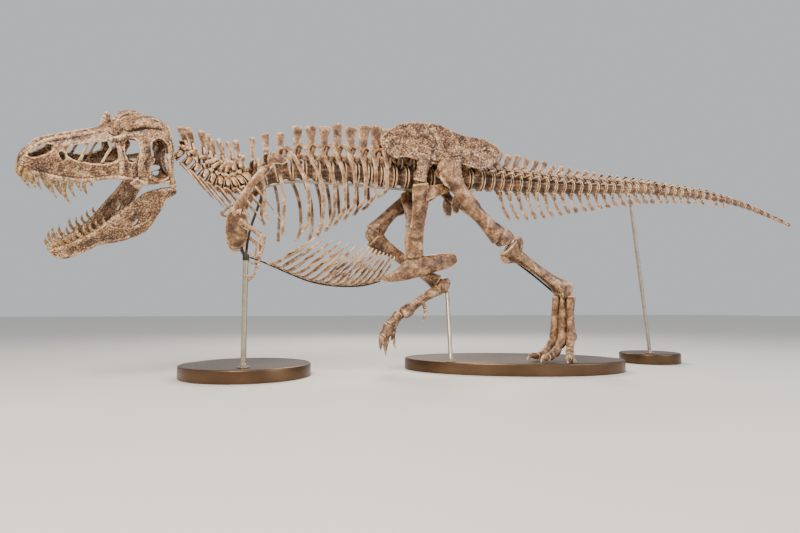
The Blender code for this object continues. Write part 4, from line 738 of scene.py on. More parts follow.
middleStruts = dict(
    condyle=(headLeft, "middle", 0.06, [
        (0.14, 0, 0.04, 0.065, 0.075), (0.02, 0.01, 0.01, 0.060, 0.065),
        (-0.075, 0.055, -0.025, 0.050, 0.050)]),
    occiput=(headUp, "middle", 0.06, [
        (0.16, 0, 0.22, 0.10, 0.20), (0.08, 0, 0.20, 0.10, 0.22), (0.06, 0, 0.18, 0.08, 0.20)]),
    braincase=(headUp, "middle", 0.06, [
        (0.50, 0, 0.16, 0.05, 0.07), (0.3, 0, 0.16, 0.07, 0.08), (0.12, 0, 0.14, 0.07, 0.08)]))


# Bar through rows of place, out, height and half widths in the head's frame
def headBar(rows, hint, stock, ends=0.10, side=1, aside=0.0):
    return layBar([key(inHead(s, side * (w + aside), n), wide, deep) for s, w, n, wide, deep in rows],
                  hint, stock, ends)


def column(rows, c):
    ordered = sorted(rows)
    return [r[0] for r in ordered], [r[c] for r in ordered]


def skullBoneOf():
    body = loft([skullRing(*station) for station in skullStations])
    hollow = [list(station) for station in skullStations[2:-1]]
    hollow[-1][0] = 0.10
    cuts = [loft([skullRing(*station, inset=skullWall) for station in hollow])]
    for side in (-1, 1):
        cuts += [windowCutter(outline, side * near, side * far) for near, far, outline in skullWindows]
        cuts.append(windowCutter(oval(0.215, side * 0.125, 0.085, 0.065), 0.12, 0.6, "n"))
        cuts.append(windowCutter(oval(side * 0.22, -0.08, 0.11, 0.13), -0.2, 0.16, "s"))
    cuts.append(windowCutter(palateWindow, -0.5, -0.20, "n"))
    useModifier(body, "REMESH", mode="VOXEL", voxel_size=0.0085, adaptivity=0)
    cutOut(body, cuts)
    parts = [body]
    for side in (-1, 1):
        parts += [headBar(rows, hint, stock, ends, side) for hint, stock, ends, rows in skullStruts.values()]
    for i in range(4):                                            # rough knobs along the nose
        s = 1.30 - i * 0.16
        roof = float(np.interp(s, *column(skullStations, 1)))
        parts.append(headBar([(s + 0.02, 0.012 * math.sin(i * 2.1), roof - 0.004, 0.016, 0.03),
                              (s - 0.025, 0.0, roof + 0.004, 0.018, 0.03)], headUp, "coarse", 0.3))
    parts += [headBar(rows, hint, stock, ends) for hint, stock, ends, rows in middleStruts.values()]
    return fuse("skull_bone", parts, 0.0068, 2, 0.015, 0.060, pitting=0.5)


keep(skullBoneOf(), "skull", skullBone)
print("skull made")


upperTeeth = [          # place along the skull, length below the bone
    (1.478, 0.13), (1.437, 0.19), (1.39, 0.17), (1.34, 0.17), (1.272, 0.12), (1.218, 0.23), (1.163, 0.15),
    (1.10, 0.27), (1.045, 0.19), (0.982, 0.12), (0.925, 0.17), (0.87, 0.09)]
lowerTeeth = [
    (1.26, 0.11), (1.205, 0.15), (1.15, 0.17), (1.09, 0.15), (1.035, 0.09), (0.97, 0.16), (0.915, 0.12),
    (0.86, 0.10), (0.80, 0.10), (0.74, 0.07)]
toothGrowth = (headUp * 0.9 + snoutward * 0.42).normalized()      # way the lower teeth point
jawStations = [         # place, upper edge, lower edge, half distance between the branches, half thickness
    (1.30, -1.12, -1.16, 0.035, 0.030), (1.23, -1.085, -1.235, 0.060, 0.040),
    (1.13, -1.05, -1.23, 0.085, 0.042), (0.99, -0.985, -1.175, 0.115, 0.038),
    (0.82, -0.875, -1.09, 0.150, 0.034), (0.66, -0.72, -1.065, 0.200, 0.032),
    (0.50, -0.57, -1.01, 0.250, 0.032), (0.36, -0.43, -0.93, 0.300, 0.032),
    (0.24, -0.385, -0.74, 0.335, 0.034), (0.13, -0.365, -0.53, 0.355, 0.040),
    (0.02, -0.39, -0.45, 0.355, 0.030)]
jawWindow = [(0.50, -0.84), (0.47, -0.79), (0.425, -0.75), (0.43, -0.79), (0.455, -0.84)]
jawBars = dict(         # distance outside the branch, stock, rows of place, out, height and half widths
    lowerRim=(0.030, "middle", [
        (1.19, 0.072, -1.20, 0.020, 0.014), (1.04, 0.105, -1.17, 0.020, 0.014),
        (0.85, 0.145, -1.06, 0.020, 0.014), (0.66, 0.20, -1.02, 0.020, 0.014),
        (0.52, 0.245, -0.97, 0.020, 0.014)]),
    lowRidge=(0.026, "middle", [
        (0.72, 0.185, -0.84, 0.018, 0.014), (0.56, 0.225, -0.88, 0.018, 0.014),
        (0.40, 0.285, -0.82, 0.018, 0.014), (0.27, 0.325, -0.68, 0.018, 0.014)]),
    highRidge=(0.028, "middle", [
        (0.62, 0.21, -0.80, 0.012, 0.012), (0.45, 0.26, -0.66, 0.012, 0.012),
        (0.30, 0.31, -0.53, 0.012, 0.012), (0.16, 0.345, -0.44, 0.012, 0.012)]),
    hinge=(0.0, "coarse", [
        (0.20, 0.35, -0.42, 0.035, 0.030), (0.10, 0.36, -0.40, 0.035, 0.030),
        (0.03, 0.355, -0.40, 0.035, 0.030)]))


# Thick recurved tooth, oval in section, with a blunt point
def tooth(root, tip, curl, width):
    rows = ((root, 0.92, 0.66), (root.lerp(tip, 0.22) + curl * 0.7, 1.0, 0.7),
            ((root + tip) / 2 + curl, 0.84, 0.58), (root.lerp(tip, 0.80) + curl * 0.55, 0.5, 0.36),
            (tip, 0.13, 0.11))
    return layBar([key(point, width * wide, width * deep) for point, wide, deep in rows],
                  snoutward, "middle", 0.02)


def jawRing(s, top, low, place, thick, side):
    depth = top - low
    shape = [(0.0, top), (0.75, top - depth * 0.04), (1.0, top - depth * 0.18), (0.9, low + depth * 0.45),
             (1.0, low + depth * 0.18), (0.7, low + depth * 0.03), (0.0, low), (-0.7, low + depth * 0.05),
             (-0.9, low + depth * 0.2), (-0.55, (top + low) / 2), (-0.9, top - depth * 0.22),
             (-0.7, top - depth * 0.05)]
    return [inHead(s, side * (place + thick * w), n) for w, n in shape]


for word, side in (("left", 1), ("right", -1)):
    teeth = []
    for s, length in upperTeeth:
        low = float(np.interp(s, *column(skullStations, 2)))
        width = float(np.interp(s, *column(skullStations, 5))) - 0.024
        teeth.append(tooth(inHead(s + 0.004, side * width, low + 0.03),
                           inHead(s - length * 0.04, side * width * 0.98, low - length),
                           snoutward * (0.010 + length * 0.14), 0.012 + length * 0.058))
    keep(finished(merged(teeth), "upper_teeth_" + word), "skull", enamel)
    teeth = []
    for s, length in lowerTeeth:
        top = float(np.interp(s, *column(jawStations, 1)))
        place = float(np.interp(s, *column(jawStations, 3)))
        teeth.append(tooth(inHead(s, side * place, top - 0.03),
                           inHead(s, side * place, top) + toothGrowth * length,
                           snoutward * (0.012 + length * 0.13), 0.011 + length * 0.062))
    keep(finished(merged(teeth), "lower_teeth_" + word), "jaw_" + word, enamel)
for word, side in (("left", 1), ("right", -1)):
    body = loft([jawRing(*row, side) for row in alongKeys(jawStations, np.linspace(0, 1, 26))])
    cuts = [windowCutter(jawWindow, side * 0.15, side * 0.40)]
    parts = [body]
    parts += [headBar(rows, headUp, stock, 0.10, side, aside) for aside, stock, rows in jawBars.values()]
    keep(fuse("jaw_bone_" + word, parts, 0.0068, 2, 0.015, 0.055, cuts, 0.5), "jaw_" + word, skullBone)
print("teeth and jaws made")


# Shoulders and arms

def mirrored(keys, side):
    return [(k[0], side * k[1], *k[2:]) for k in keys]


shoulderKeys = [
    (-2.235, 0.455, 2.82, 0.150, 0.014), (-2.31, 0.465, 2.735, 0.118, 0.016),
    (-2.44, 0.475, 2.61, 0.062, 0.019), (-2.58, 0.47, 2.44, 0.047, 0.023),
    (-2.69, 0.45, 2.24, 0.054, 0.027), (-2.75, 0.41, 2.06, 0.100, 0.036)]
socketKeys = [(-2.80, 0.425, 2.10, 0.03, 0.03), (-2.70, 0.435, 2.08, 0.05, 0.04)]
coracoidKeys = [
    (-2.745, 0.42, 2.10, 0.110, 0.032), (-2.755, 0.36, 1.93, 0.138, 0.030),
    (-2.75, 0.27, 1.77, 0.128, 0.024), (-2.735, 0.20, 1.665, 0.080, 0.016)]
furculaKeys = [
    (-2.80, 0.40, 2.19, 0.014, 0.014), (-2.87, 0.28, 2.15, 0.018, 0.018), (-2.93, 0.12, 2.12, 0.020, 0.020),
    (-2.945, 0, 2.13, 0.024, 0.022)]
for word, side in sides:
    blade = [layBar(mirrored(shoulderKeys, side), Vector((0.75, 0, 0.66)), "fine", 0.04),
             layBar(mirrored(socketKeys, side), up, "coarse")]
    keep(fuse("shoulder_blade_" + word, blade, 0.008, 2, 0.003), "scapula_" + word, bone)
    plate = [layBar(mirrored(coracoidKeys, side), Vector((0.85, 0, 0.2)), "fine", 0.08)]
    keep(fuse("coracoid_" + word, plate, 0.008, 2, 0.003), "scapula_" + word, bone)
span = mirrored(furculaKeys, -1) + furculaKeys[-2::-1]
keep(fuse("wishbone", [layBar(span, up, "fine", 0.04)], 0.006, 2, 0.0015), "furcula", bone)

humerusKeys = [
    (-2.73, 0.40, 1.975, 0.052, 0.036), (-2.66, 0.42, 1.935, 0.042, 0.030),
    (-2.57, 0.45, 1.87, 0.028, 0.025), (-2.49, 0.47, 1.815, 0.034, 0.028),
    (-2.45, 0.475, 1.785, 0.044, 0.033)]
humerusCrest = [
    (-2.70, 0.41, 1.93, 0.03, 0.014), (-2.635, 0.435, 1.885, 0.026, 0.013),
    (-2.59, 0.445, 1.86, 0.012, 0.01)]
armParts = dict(        # name to node, material, hint, voxel, roughness, rows
    radius=("forearm_", bone, tailward, 0.0045, 0.001, [
        (-2.475, 0.465, 1.765, 0.020, 0.018), (-2.50, 0.465, 1.66, 0.013, 0.013),
        (-2.487, 0.472, 1.562, 0.020, 0.018)]),
    ulna=("forearm_", bone, tailward, 0.0045, 0.001, [
        (-2.428, 0.485, 1.80, 0.026, 0.020), (-2.435, 0.487, 1.67, 0.016, 0.014),
        (-2.462, 0.480, 1.562, 0.020, 0.018)]),
    finger_palm2=("hand_", bone, tailward, 0.0035, 0.0008, [
        (-2.475, 0.475, 1.548, 0.022, 0.022), (-2.481, 0.474, 1.50, 0.014, 0.014),
        (-2.488, 0.471, 1.452, 0.020, 0.018)]),
    finger_first2=("hand_", bone, tailward, 0.0035, 0.0008, [
        (-2.491, 0.470, 1.440, 0.018, 0.016), (-2.497, 0.468, 1.40, 0.012, 0.012),
        (-2.510, 0.465, 1.365, 0.017, 0.015)]),
    finger_second2=("hand_", bone, tailward, 0.0035, 0.0008, [
        (-2.515, 0.464, 1.355, 0.017, 0.014), (-2.54, 0.462, 1.325, 0.012, 0.011),
        (-2.562, 0.460, 1.305, 0.016, 0.013)]),
    finger_palm1=("hand_", bone, tailward, 0.0035, 0.0008, [
        (-2.478, 0.458, 1.545, 0.018, 0.016), (-2.500, 0.452, 1.528, 0.014, 0.013),
        (-2.520, 0.448, 1.520, 0.016, 0.014)]),
    finger_first1=("hand_", bone, tailward, 0.0035, 0.0008, [
        (-2.527, 0.447, 1.521, 0.016, 0.014), (-2.548, 0.444, 1.526, 0.011, 0.011),
        (-2.568, 0.441, 1.538, 0.014, 0.012)]),
    finger_claw2=("hand_", enamel, up, 0.003, 0.0006, [
        (-2.568, 0.460, 1.300, 0.021, 0.011), (-2.60, 0.459, 1.288, 0.018, 0.010),
        (-2.64, 0.458, 1.295, 0.009, 0.006), (-2.663, 0.457, 1.308, 0.002, 0.002)]),
    finger_claw1=("hand_", enamel, up, 0.003, 0.0006, [
        (-2.572, 0.440, 1.545, 0.018, 0.010), (-2.590, 0.438, 1.562, 0.015, 0.009),
        (-2.602, 0.437, 1.588, 0.008, 0.005), (-2.606, 0.436, 1.608, 0.002, 0.002)]))
for word, side in sides:
    arm = [layBar(mirrored(humerusKeys, side), up, "fine"),
           layBar(mirrored(humerusCrest, side), up, "coarse")]
    keep(fuse("upper_arm_" + word, arm, 0.006, 2, 0.0015), "humerus_" + word, bone)
    for part, (node, material, hint, voxel, rough, rows) in armParts.items():
        keep(fuse("%s_%s" % (part, word), [layBar(mirrored(rows, side), hint)], voxel, 1, rough),
             node + word, material)
print("shoulders and arms made")


# Pelvis

hipBlade = [            # x, top, lower edge, half thickness
    (-0.90, 3.22, 3.13, 0.010), (-0.84, 3.31, 3.06, 0.018), (-0.70, 3.43, 2.97, 0.026),
    (-0.52, 3.52, 2.99, 0.034), (-0.30, 3.55, 2.92, 0.050), (-0.06, 3.55, 2.92, 0.060),
    (0.12, 3.50, 2.94, 0.052), (0.28, 3.43, 2.95, 0.040), (0.52, 3.40, 2.90, 0.030),
    (0.70, 3.385, 2.95, 0.024), (0.85, 3.31, 3.05, 0.018), (0.93, 3.22, 3.13, 0.010)]
hipSection = [          # share of the height, share of the half thickness
    (0.0, 0.55), (0.12, 1.0), (0.35, 0.85), (0.6, 0.62), (0.85, 0.5), (0.97, 0.62), (1.0, 0.35)]
hipLean = dict(out=0.33, level=2.9, inward=0.27, bow=0.012)   # place at a level, then inward per metre up
hipBars = [             # stalks to the pubis and the ischium, roof of the socket, hook, ridges
    [(-0.27, 0.32, 3.04, 0.13, 0.050), (-0.31, 0.32, 2.86, 0.085, 0.066),
     (-0.345, 0.30, 2.655, 0.100, 0.058)],
    [(0.17, 0.32, 3.04, 0.12, 0.050), (0.20, 0.32, 2.88, 0.070, 0.062), (0.22, 0.31, 2.75, 0.075, 0.052)],
    [(-0.05, 0.33, 3.10, 0.10, 0.035), (-0.05, 0.37, 2.99, 0.14, 0.045), (-0.05, 0.385, 2.945, 0.12, 0.03)],
    [(-0.84, 0.275, 3.20, 0.050, 0.022), (-0.76, 0.300, 3.07, 0.080, 0.034),
     (-0.64, 0.320, 3.00, 0.070, 0.030)],
    [(-0.02, 0.345, 3.06, 0.070, 0.034), (-0.06, 0.275, 3.30, 0.045, 0.030),
     (-0.12, 0.205, 3.47, 0.060, 0.026)],
    [(0.30, 0.300, 3.10, 0.060, 0.026), (0.60, 0.265, 3.22, 0.050, 0.026), (0.82, 0.262, 3.20, 0.045, 0.022)]]
for word, side in sides:
    rings = []
    for x, top, low, thick in alongKeys(hipBlade, np.linspace(0, 1, 34)):
        ring = []
        for share, swell in hipSection:
            z = low + (top - low) * share
            y = (hipLean["out"] - hipLean["inward"] * (z - hipLean["level"])
                 + hipLean["bow"] * math.sin(share * math.pi))
            ring.append((y, z, thick * swell))
        rings.append([Vector((x, side * (y + half), z)) for y, z, half in ring]
                     + [Vector((x, side * (y - half), z)) for y, z, half in reversed(ring)])
    parts = [loft(rings)] + [layBar(mirrored(keys, side), tailward, "middle", 0.05) for keys in hipBars]
    keep(fuse("hip_blade_" + word, parts, 0.009, 2, 0.018, 0.070, pitting=0.6), "ilium_" + word, bone)

pubisShaft = [
    (-0.335, 0.30, 2.640, 0.110, 0.052), (-0.31, 0.26, 2.50, 0.135, 0.044),
    (-0.30, 0.18, 2.29, 0.112, 0.036), (-0.32, 0.11, 2.04, 0.110, 0.036),
    (-0.335, 0.05, 1.82, 0.130, 0.046), (-0.31, 0.015, 1.62, 0.115, 0.045)]
pubisPlate = [
    (-0.27, 0.27, 2.50, 0.11, 0.030), (-0.08, 0.28, 2.555, 0.085, 0.028), (0.10, 0.285, 2.62, 0.060, 0.026)]
pubisBoot = [
    (-0.80, 0, 1.310, 0.030, 0.020), (-0.66, 0, 1.340, 0.068, 0.045), (-0.52, 0, 1.395, 0.108, 0.066),
    (-0.36, 0, 1.470, 0.142, 0.080), (-0.18, 0, 1.525, 0.138, 0.080), (0.02, 0, 1.565, 0.124, 0.064),
    (0.17, 0, 1.602, 0.112, 0.050), (0.27, 0, 1.632, 0.088, 0.040), (0.325, 0, 1.655, 0.040, 0.022)]
pubisApron = [(-0.33, 0, 2.14, 0.030, 0.13), (-0.33, 0, 1.95, 0.030, 0.09), (-0.33, 0, 1.70, 0.040, 0.05)]
ischiumShaft = [
    (0.225, 0.30, 2.735, 0.085, 0.050), (0.29, 0.24, 2.59, 0.080, 0.032), (0.44, 0.13, 2.44, 0.060, 0.027),
    (0.61, 0.05, 2.29, 0.050, 0.025), (0.77, 0.025, 2.15, 0.043, 0.025), (0.90, 0.018, 2.04, 0.032, 0.022)]
ischiumFlange = [
    (0.30, 0.22, 2.54, 0.085, 0.016), (0.255, 0.17, 2.40, 0.085, 0.014), (0.26, 0.13, 2.27, 0.045, 0.011)]
parts = []
for word, side in sides:
    parts.append(layBar(mirrored(pubisShaft, side), tailward, "fine", 0.03))
    parts.append(layBar(mirrored(pubisPlate, side), up, "middle", 0.05))
parts += [layBar(pubisBoot, up, "fine", 0.03), layBar(pubisApron, tailward, "middle", 0.03)]
keep(fuse("pubis_pair", parts, 0.010, 3, 0.004), "pubis", bone)
parts = []
for word, side in sides:
    parts.append(layBar(mirrored(ischiumShaft, side), tailward, "fine", 0.03))
    parts.append(layBar(mirrored(ischiumFlange, side), tailward, "middle"))
keep(fuse("ischium_pair", parts, 0.009, 3, 0.0035), "ischium", bone)

sacralRib = [           # out, up, half widths
    (0.09, 0.06, 0.055, 0.05), (0.20, 0.12, 0.040, 0.035), (0.285, 0.16, 0.060, 0.07)]
for i, x in enumerate(centresOf("sacrum")[0]):
    centre, along, left, upward = spineFrame(x)
    for word, side in sides:
        keys = [key(centre + left * (-side * out) + upward * rise, wide, deep)
                for out, rise, wide, deep in sacralRib]
        bar = layBar(keys, tailward, "middle", 0.05)
        keep(fuse("sacral_rib_%d_%s" % (i + 1, word), [bar], 0.009, 2, 0.003), "sacrum", bone)
print("pelvis made")


bases = dict(
    front=dict(centre=(-2.59, 0.38), radii=(0.86, 0.86), turn=0),
    middle=dict(centre=(1.24, 0.08), radii=(1.615, 0.92), turn=-24),
    tail=dict(centre=(4.00, 0.35), radii=(0.48, 0.48), turn=0),
    height=0.17, round=0.020)


# Hind legs

legs = dict(            # turn is how far the foot points outward
    left=dict(side=-1, hip=(0, -0.42, 2.80), knee=(0.83, -0.47, 1.825), ankle=(1.85, -0.40, 1.17),
              ball=(1.82, -0.38, 0.44), turn=34),
    right=dict(side=1, hip=(0, 0.42, 2.80), knee=(-0.88, 0.45, 1.99), ankle=(0.21, 0.27, 1.235),
               ball=(-0.42, 0.23, 0.845), toe=(-0.71, 0.24, 0.235), turn=27))
toes = [                # place across the foot, its bone's size, the toe bones' lengths, splay, hanging reach
    dict(number=2, out=-0.130, size=0.98, short=0.03, bones=(0.20, 0.15), width=0.073, splay=-18, reach=0.88,
         hang=-0.10),
    dict(number=3, out=0.0, size=1.08, short=0.0, bones=(0.22, 0.17, 0.13), width=0.082, splay=0, reach=1.0,
         hang=0.0),
    dict(number=4, out=0.130, size=0.98, short=0.03, bones=(0.16, 0.12, 0.10, 0.08), width=0.071, splay=18,
         reach=0.88, hang=0.10)]
across = Vector((0, 1, 0))


def footAxes(leg):      # where the middle toe points, and out to the fourth toe
    turn, side = math.radians(leg["turn"]), leg["side"]
    return (Vector((-math.cos(turn), side * math.sin(turn), 0)),
            Vector((math.sin(turn), side * math.cos(turn), 0)))


def frontOf(start, end):
    along = (Vector(end) - Vector(start)).normalized()
    return (-tailward - along * (-tailward).dot(along)).normalized()


# Bar from rows of share of length, offset forward, offset outward, half width, half depth
def limbBar(start, end, rows, stock, ends=0.10, hint=None):
    start, end = Vector(start), Vector(end)
    front = frontOf(start, end)
    return layBar([key(start + (end - start) * share + front * forward + Vector((0, outward, 0)), wide, deep)
                   for share, forward, outward, wide, deep in rows], hint or front, stock, ends)


def femur(leg):
    side, hip, knee = leg["side"], Vector(leg["hip"]), leg["knee"]
    parts = [limbBar(hip, knee, [
        (-0.04, 0.0, side * 0.01, 0.125, 0.066), (0.03, 0.0, side * 0.01, 0.136, 0.085),
        (0.14, 0.01, side * 0.01, 0.118, 0.096), (0.32, 0.02, 0.0, 0.102, 0.094),
        (0.55, 0.025, 0.0, 0.096, 0.093), (0.74, 0.01, 0.0, 0.106, 0.104), (0.86, -0.01, 0.0, 0.132, 0.120),
        (0.95, -0.02, 0.0, 0.150, 0.128)],
        "fine", 0.05)]

    def atHip(rows, hint, ends):
        parts.append(layBar([(hip.x + x, hip.y + side * y, hip.z + z, wide, deep)
                             for x, y, z, wide, deep in rows], hint, "middle", ends))

    atHip([(0, 0, -0.02, 0.085, 0.095), (-0.01, -0.10, 0.01, 0.078, 0.078),
           (-0.02, -0.16, 0.02, 0.088, 0.088),
           (-0.02, -0.215, 0.02, 0.060, 0.060)], up, 0.2)                                 # head
    parts.append(limbBar(hip, knee, [
        (-0.01, 0.10, side * 0.02, 0.045, 0.035), (0.10, 0.118, side * 0.03, 0.050, 0.028),
        (0.20, 0.06, side * 0.02, 0.040, 0.03)], "coarse"))                               # crest in front
    parts.append(limbBar(hip, knee, [
        (0.38, -0.075, -side * 0.02, 0.025, 0.02), (0.46, -0.095, -side * 0.02, 0.030, 0.02),
        (0.56, -0.065, -side * 0.02, 0.02, 0.02)], "coarse"))                             # ridge behind
    atHip([(0, 0.085, 0.04, 0.115, 0.125), (0, 0, 0.05, 0.128, 0.135), (0, -0.06, 0.04, 0.105, 0.115)],
          tailward, 0.3)                                                                  # outer knob
    for offset in (-0.074, 0.074):                                                        # condyles
        parts.append(limbBar(hip, knee, [
            (0.88, -0.02, offset, 0.095, 0.058), (0.97, -0.050, offset, 0.125, 0.066),
            (1.04, -0.050, offset, 0.095, 0.060)], "middle", 0.25))
    return parts


def tibia(leg):
    side, knee, ankle = leg["side"], leg["knee"], leg["ankle"]
    return [limbBar(knee, ankle, [
        (0.070, 0.0, -side * 0.02, 0.160, 0.112), (0.13, 0.01, -side * 0.02, 0.140, 0.102),
        (0.24, 0.01, -side * 0.02, 0.102, 0.086), (0.42, 0.005, -side * 0.01, 0.080, 0.074),
        (0.68, 0.0, 0.0, 0.078, 0.078), (0.84, 0.0, 0.0, 0.098, 0.108), (0.93, 0.0, 0.0, 0.136, 0.128)],
        "fine", 0.05), limbBar(knee, ankle, [
            (0.09, 0.12, -side * 0.015, 0.068, 0.050), (0.14, 0.155, -side * 0.01, 0.070, 0.038),
            (0.22, 0.10, -side * 0.01, 0.054, 0.034),
            (0.33, 0.045, -side * 0.01, 0.036, 0.032)], "middle", 0.12)]


# Astragalus with its tall tongue up the front of the shin
def ankleBones(leg):
    knee, ankle = Vector(leg["knee"]), Vector(leg["ankle"])
    front = frontOf(knee, ankle)
    along = (ankle - knee).normalized()
    low = knee + (ankle - knee) * 0.985
    roller = [key(low + across * y, half, half * 0.72) for y, half in (
        (-0.136, 0.105), (-0.07, 0.138), (0.0, 0.124), (0.07, 0.138), (0.136, 0.105))]
    tongue = [key(low + front * 0.055, 0.06, 0.022), key(low + front * 0.062 - along * 0.12, 0.045, 0.014),
              key(low + front * 0.058 - along * 0.22, 0.015, 0.010)]
    return [layBar(roller, front, "middle", 0.08), layBar(tongue, across, "coarse")]


def fibula(leg):
    out, knee, ankle = leg["side"], leg["knee"], leg["ankle"]
    return [limbBar(knee, ankle, [
        (0.055, -0.13, out * 0.140, 0.050, 0.036), (0.13, -0.10, out * 0.135, 0.060, 0.032),
        (0.20, -0.03, out * 0.120, 0.040, 0.026)], "middle", 0.25), limbBar(knee, ankle, [
            (0.060, 0.0, out * 0.140, 0.130, 0.036), (0.12, 0.01, out * 0.134, 0.108, 0.033),
            (0.26, 0.035, out * 0.108, 0.056, 0.026), (0.50, 0.045, out * 0.088, 0.034, 0.022),
            (0.80, 0.050, out * 0.088, 0.030, 0.020),
            (0.945, 0.060, out * 0.100, 0.044, 0.026)], "fine", 0.04)]


footBone = [            # share of the length, offset forward, half width and half depth
    (0.100, 0.0, 0.098, 0.068), (0.18, 0.0, 0.084, 0.060), (0.45, 0.012, 0.060, 0.053),
    (0.74, 0.008, 0.064, 0.056), (0.87, 0.004, 0.082, 0.066), (0.95, -0.006, 0.094, 0.072),
    (1.05, -0.004, 0.084, 0.070)]


def metatarsals(leg):
    heading, outward = footAxes(leg)
    ankle, ball = Vector(leg["ankle"]), Vector(leg["ball"])
    made = []
    for toe in toes:
        size = toe["size"]
        top = ankle + outward * (toe["out"] * 0.80)
        end = ball + outward * toe["out"] + (ankle - ball).normalized() * toe["short"]
        pinch = 0.62 if toe["number"] == 3 else 1.0               # the middle one is squeezed at its top
        rows = [(share, forward, 0.0, wide * size, deep * (pinch if share < 0.2 else 1.0) * size)
                for share, forward, wide, deep in footBone]
        made.append((toe["number"], limbBar(top, end, rows, "fine", 0.10, heading)))
    return made


toeShape = [            # shares of the bone's length and of its size; the first row's place is set apart
    (0.96, 0.90), (0.22, 0.88, 0.84), (0.52, 0.66, 0.62), (0.80, 0.84, 0.80), (0.99, 0.82, 0.86)]
clawShape = [           # share of the way to its point, share of the arch, shares of its size
    (0.22, 0.6, 0.60, 0.86), (0.55, 1.0, 0.48, 0.64), (0.85, 0.5, 0.24, 0.32)]
taper = 0.11            # share that each toe bone is smaller than the one before
ballDrop = 0.020        # how far the toes start below the ball of the foot


# Finger-like row of bones, each pinched in the middle, then a curved claw
def toeBones(name, points, width, clawTip):
    for i, (a, b) in enumerate(zip(points, points[1:])):
        size = width * (1 - taper * i)
        rows = [(0.04 if i else -0.16, *toeShape[0])] + toeShape[1:]
        keys = [key(a + (b - a) * share, size * wide, size * deep) for share, wide, deep in rows]
        bar = layBar(keys, across, "fine", 0.10)
        keep(fuse("%s_bone_%d" % (name, i + 1), [bar], 0.0055, 2, 0.0022, 0.04), name, bone)
    last = points[-1]
    heading = (points[-1] - points[-2]).normalized()
    size = width * (1 - taper * len(points))
    arch = up * 0.040 + heading * 0.015
    keys = [key(last + heading * 0.008, size * 0.66, size * 0.98)]
    keys += [key(last.lerp(clawTip, share) + arch * bend, size * wide, size * deep)
             for share, bend, wide, deep in clawShape]
    keys.append(key(clawTip, 0.006, 0.006))
    keep(fuse(name + "_claw", [layBar(keys, across, "fine", 0.05)], 0.0045, 2, 0.0012, 0.03), name, bone)


def plantedFoot(leg, word):
    ground = bases["height"]
    ball = Vector(leg["ball"])
    heading, outward = footAxes(leg)
    for toe in toes:
        angle = math.radians(toe["splay"])
        toward = heading * math.cos(angle) + outward * math.sin(angle)
        spot = ball + heading * 0.045 + outward * toe["out"] - up * ballDrop
        high, low = spot.z, ground + toe["width"] * 0.80
        points = [spot.copy()]
        gone = 0
        for length in toe["bones"]:
            gone += length
            spot = spot + toward * length
            spot.z = low + (high - low) * (1 - gone / sum(toe["bones"])) ** 2.2
            points.append(spot.copy())
        tip = points[-1] + toward * 0.19
        tip.z = ground + 0.012
        toeBones("toe_%d_%s" % (toe["number"], word), points, toe["width"], tip)


def liftedFoot(leg, word):
    ball = Vector(leg["ball"])
    drop = Vector(leg["toe"]) - ball
    heading, outward = footAxes(leg)
    for toe in toes:
        hang = toe["hang"]
        start = ball + heading * 0.05 + outward * toe["out"] - up * ballDrop
        finish = ball + drop * toe["reach"] + outward * (toe["out"] + hang) - heading * (0.03 + 0.6 * hang)
        shares = [i / (len(toe["bones"]) + 1) for i in range(len(toe["bones"]) + 2)]
        points = [start.lerp(finish, share) + (heading * 0.075 + up * 0.035) * (4 * share * (1 - share))
                  for share in shares]
        toeBones("toe_%d_%s" % (toe["number"], word), points[:-1], toe["width"], points[-1])


def firstToe(leg, word):
    ball = Vector(leg["ball"])
    along = (Vector(leg["ankle"]) - ball).normalized()
    heading, outward = footAxes(leg)
    start = ball + along * 0.30 - heading * 0.065 - outward * 0.135
    middle = start - up * 0.10 - heading * 0.04 - outward * 0.02
    end = middle - up * 0.08
    claw = end - up * 0.11 + heading * 0.05
    bones = dict(
        shaft=[key(start, 0.038, 0.034), key((start + middle) / 2, 0.027, 0.025), key(middle, 0.038, 0.034)],
        tip=[key(middle.lerp(end, 0.12), 0.036, 0.032), key(middle.lerp(end, 0.5), 0.026, 0.024),
             key(end, 0.032, 0.030)],
        claw=[key(end.lerp(claw, 0.1), 0.028, 0.026),
              key(end.lerp(claw, 0.5) - heading * 0.006, 0.019, 0.017), key(claw, 0.003, 0.003)])
    for part, keys in bones.items():
        keep(fuse("toe_1_%s_%s" % (word, part), [layBar(keys, across)], 0.0045, 1, 0.001),
             "toe_1_" + word, bone)


for word, leg in legs.items():
    keep(fuse("thigh_bone_" + word, femur(leg), 0.010, 3, 0.004, 0.07), "femur_" + word, bone)
    keep(fuse("shin_bone_" + word, tibia(leg), 0.009, 3, 0.0035, 0.07), "tibia_" + word, bone)
    keep(fuse("ankle_bone_" + word, ankleBones(leg), 0.008, 2, 0.003), "tibia_" + word, bone)
    keep(fuse("calf_bone_" + word, fibula(leg), 0.007, 2, 0.0025), "fibula_" + word, bone)
    for number, bar in metatarsals(leg):
        keep(fuse("foot_bone_%d_%s" % (number, word), [bar], 0.008, 2, 0.003), "metatarsus_" + word, bone)
    firstToe(leg, word)
plantedFoot(legs["left"], "left")
liftedFoot(legs["right"], "right")
print("legs and feet made")


# Stand

shallow = math.radians(35)                                        # edges flatter than this are shaded smooth
bevelled = math.radians(50)                                       # edges sharper than this are rounded


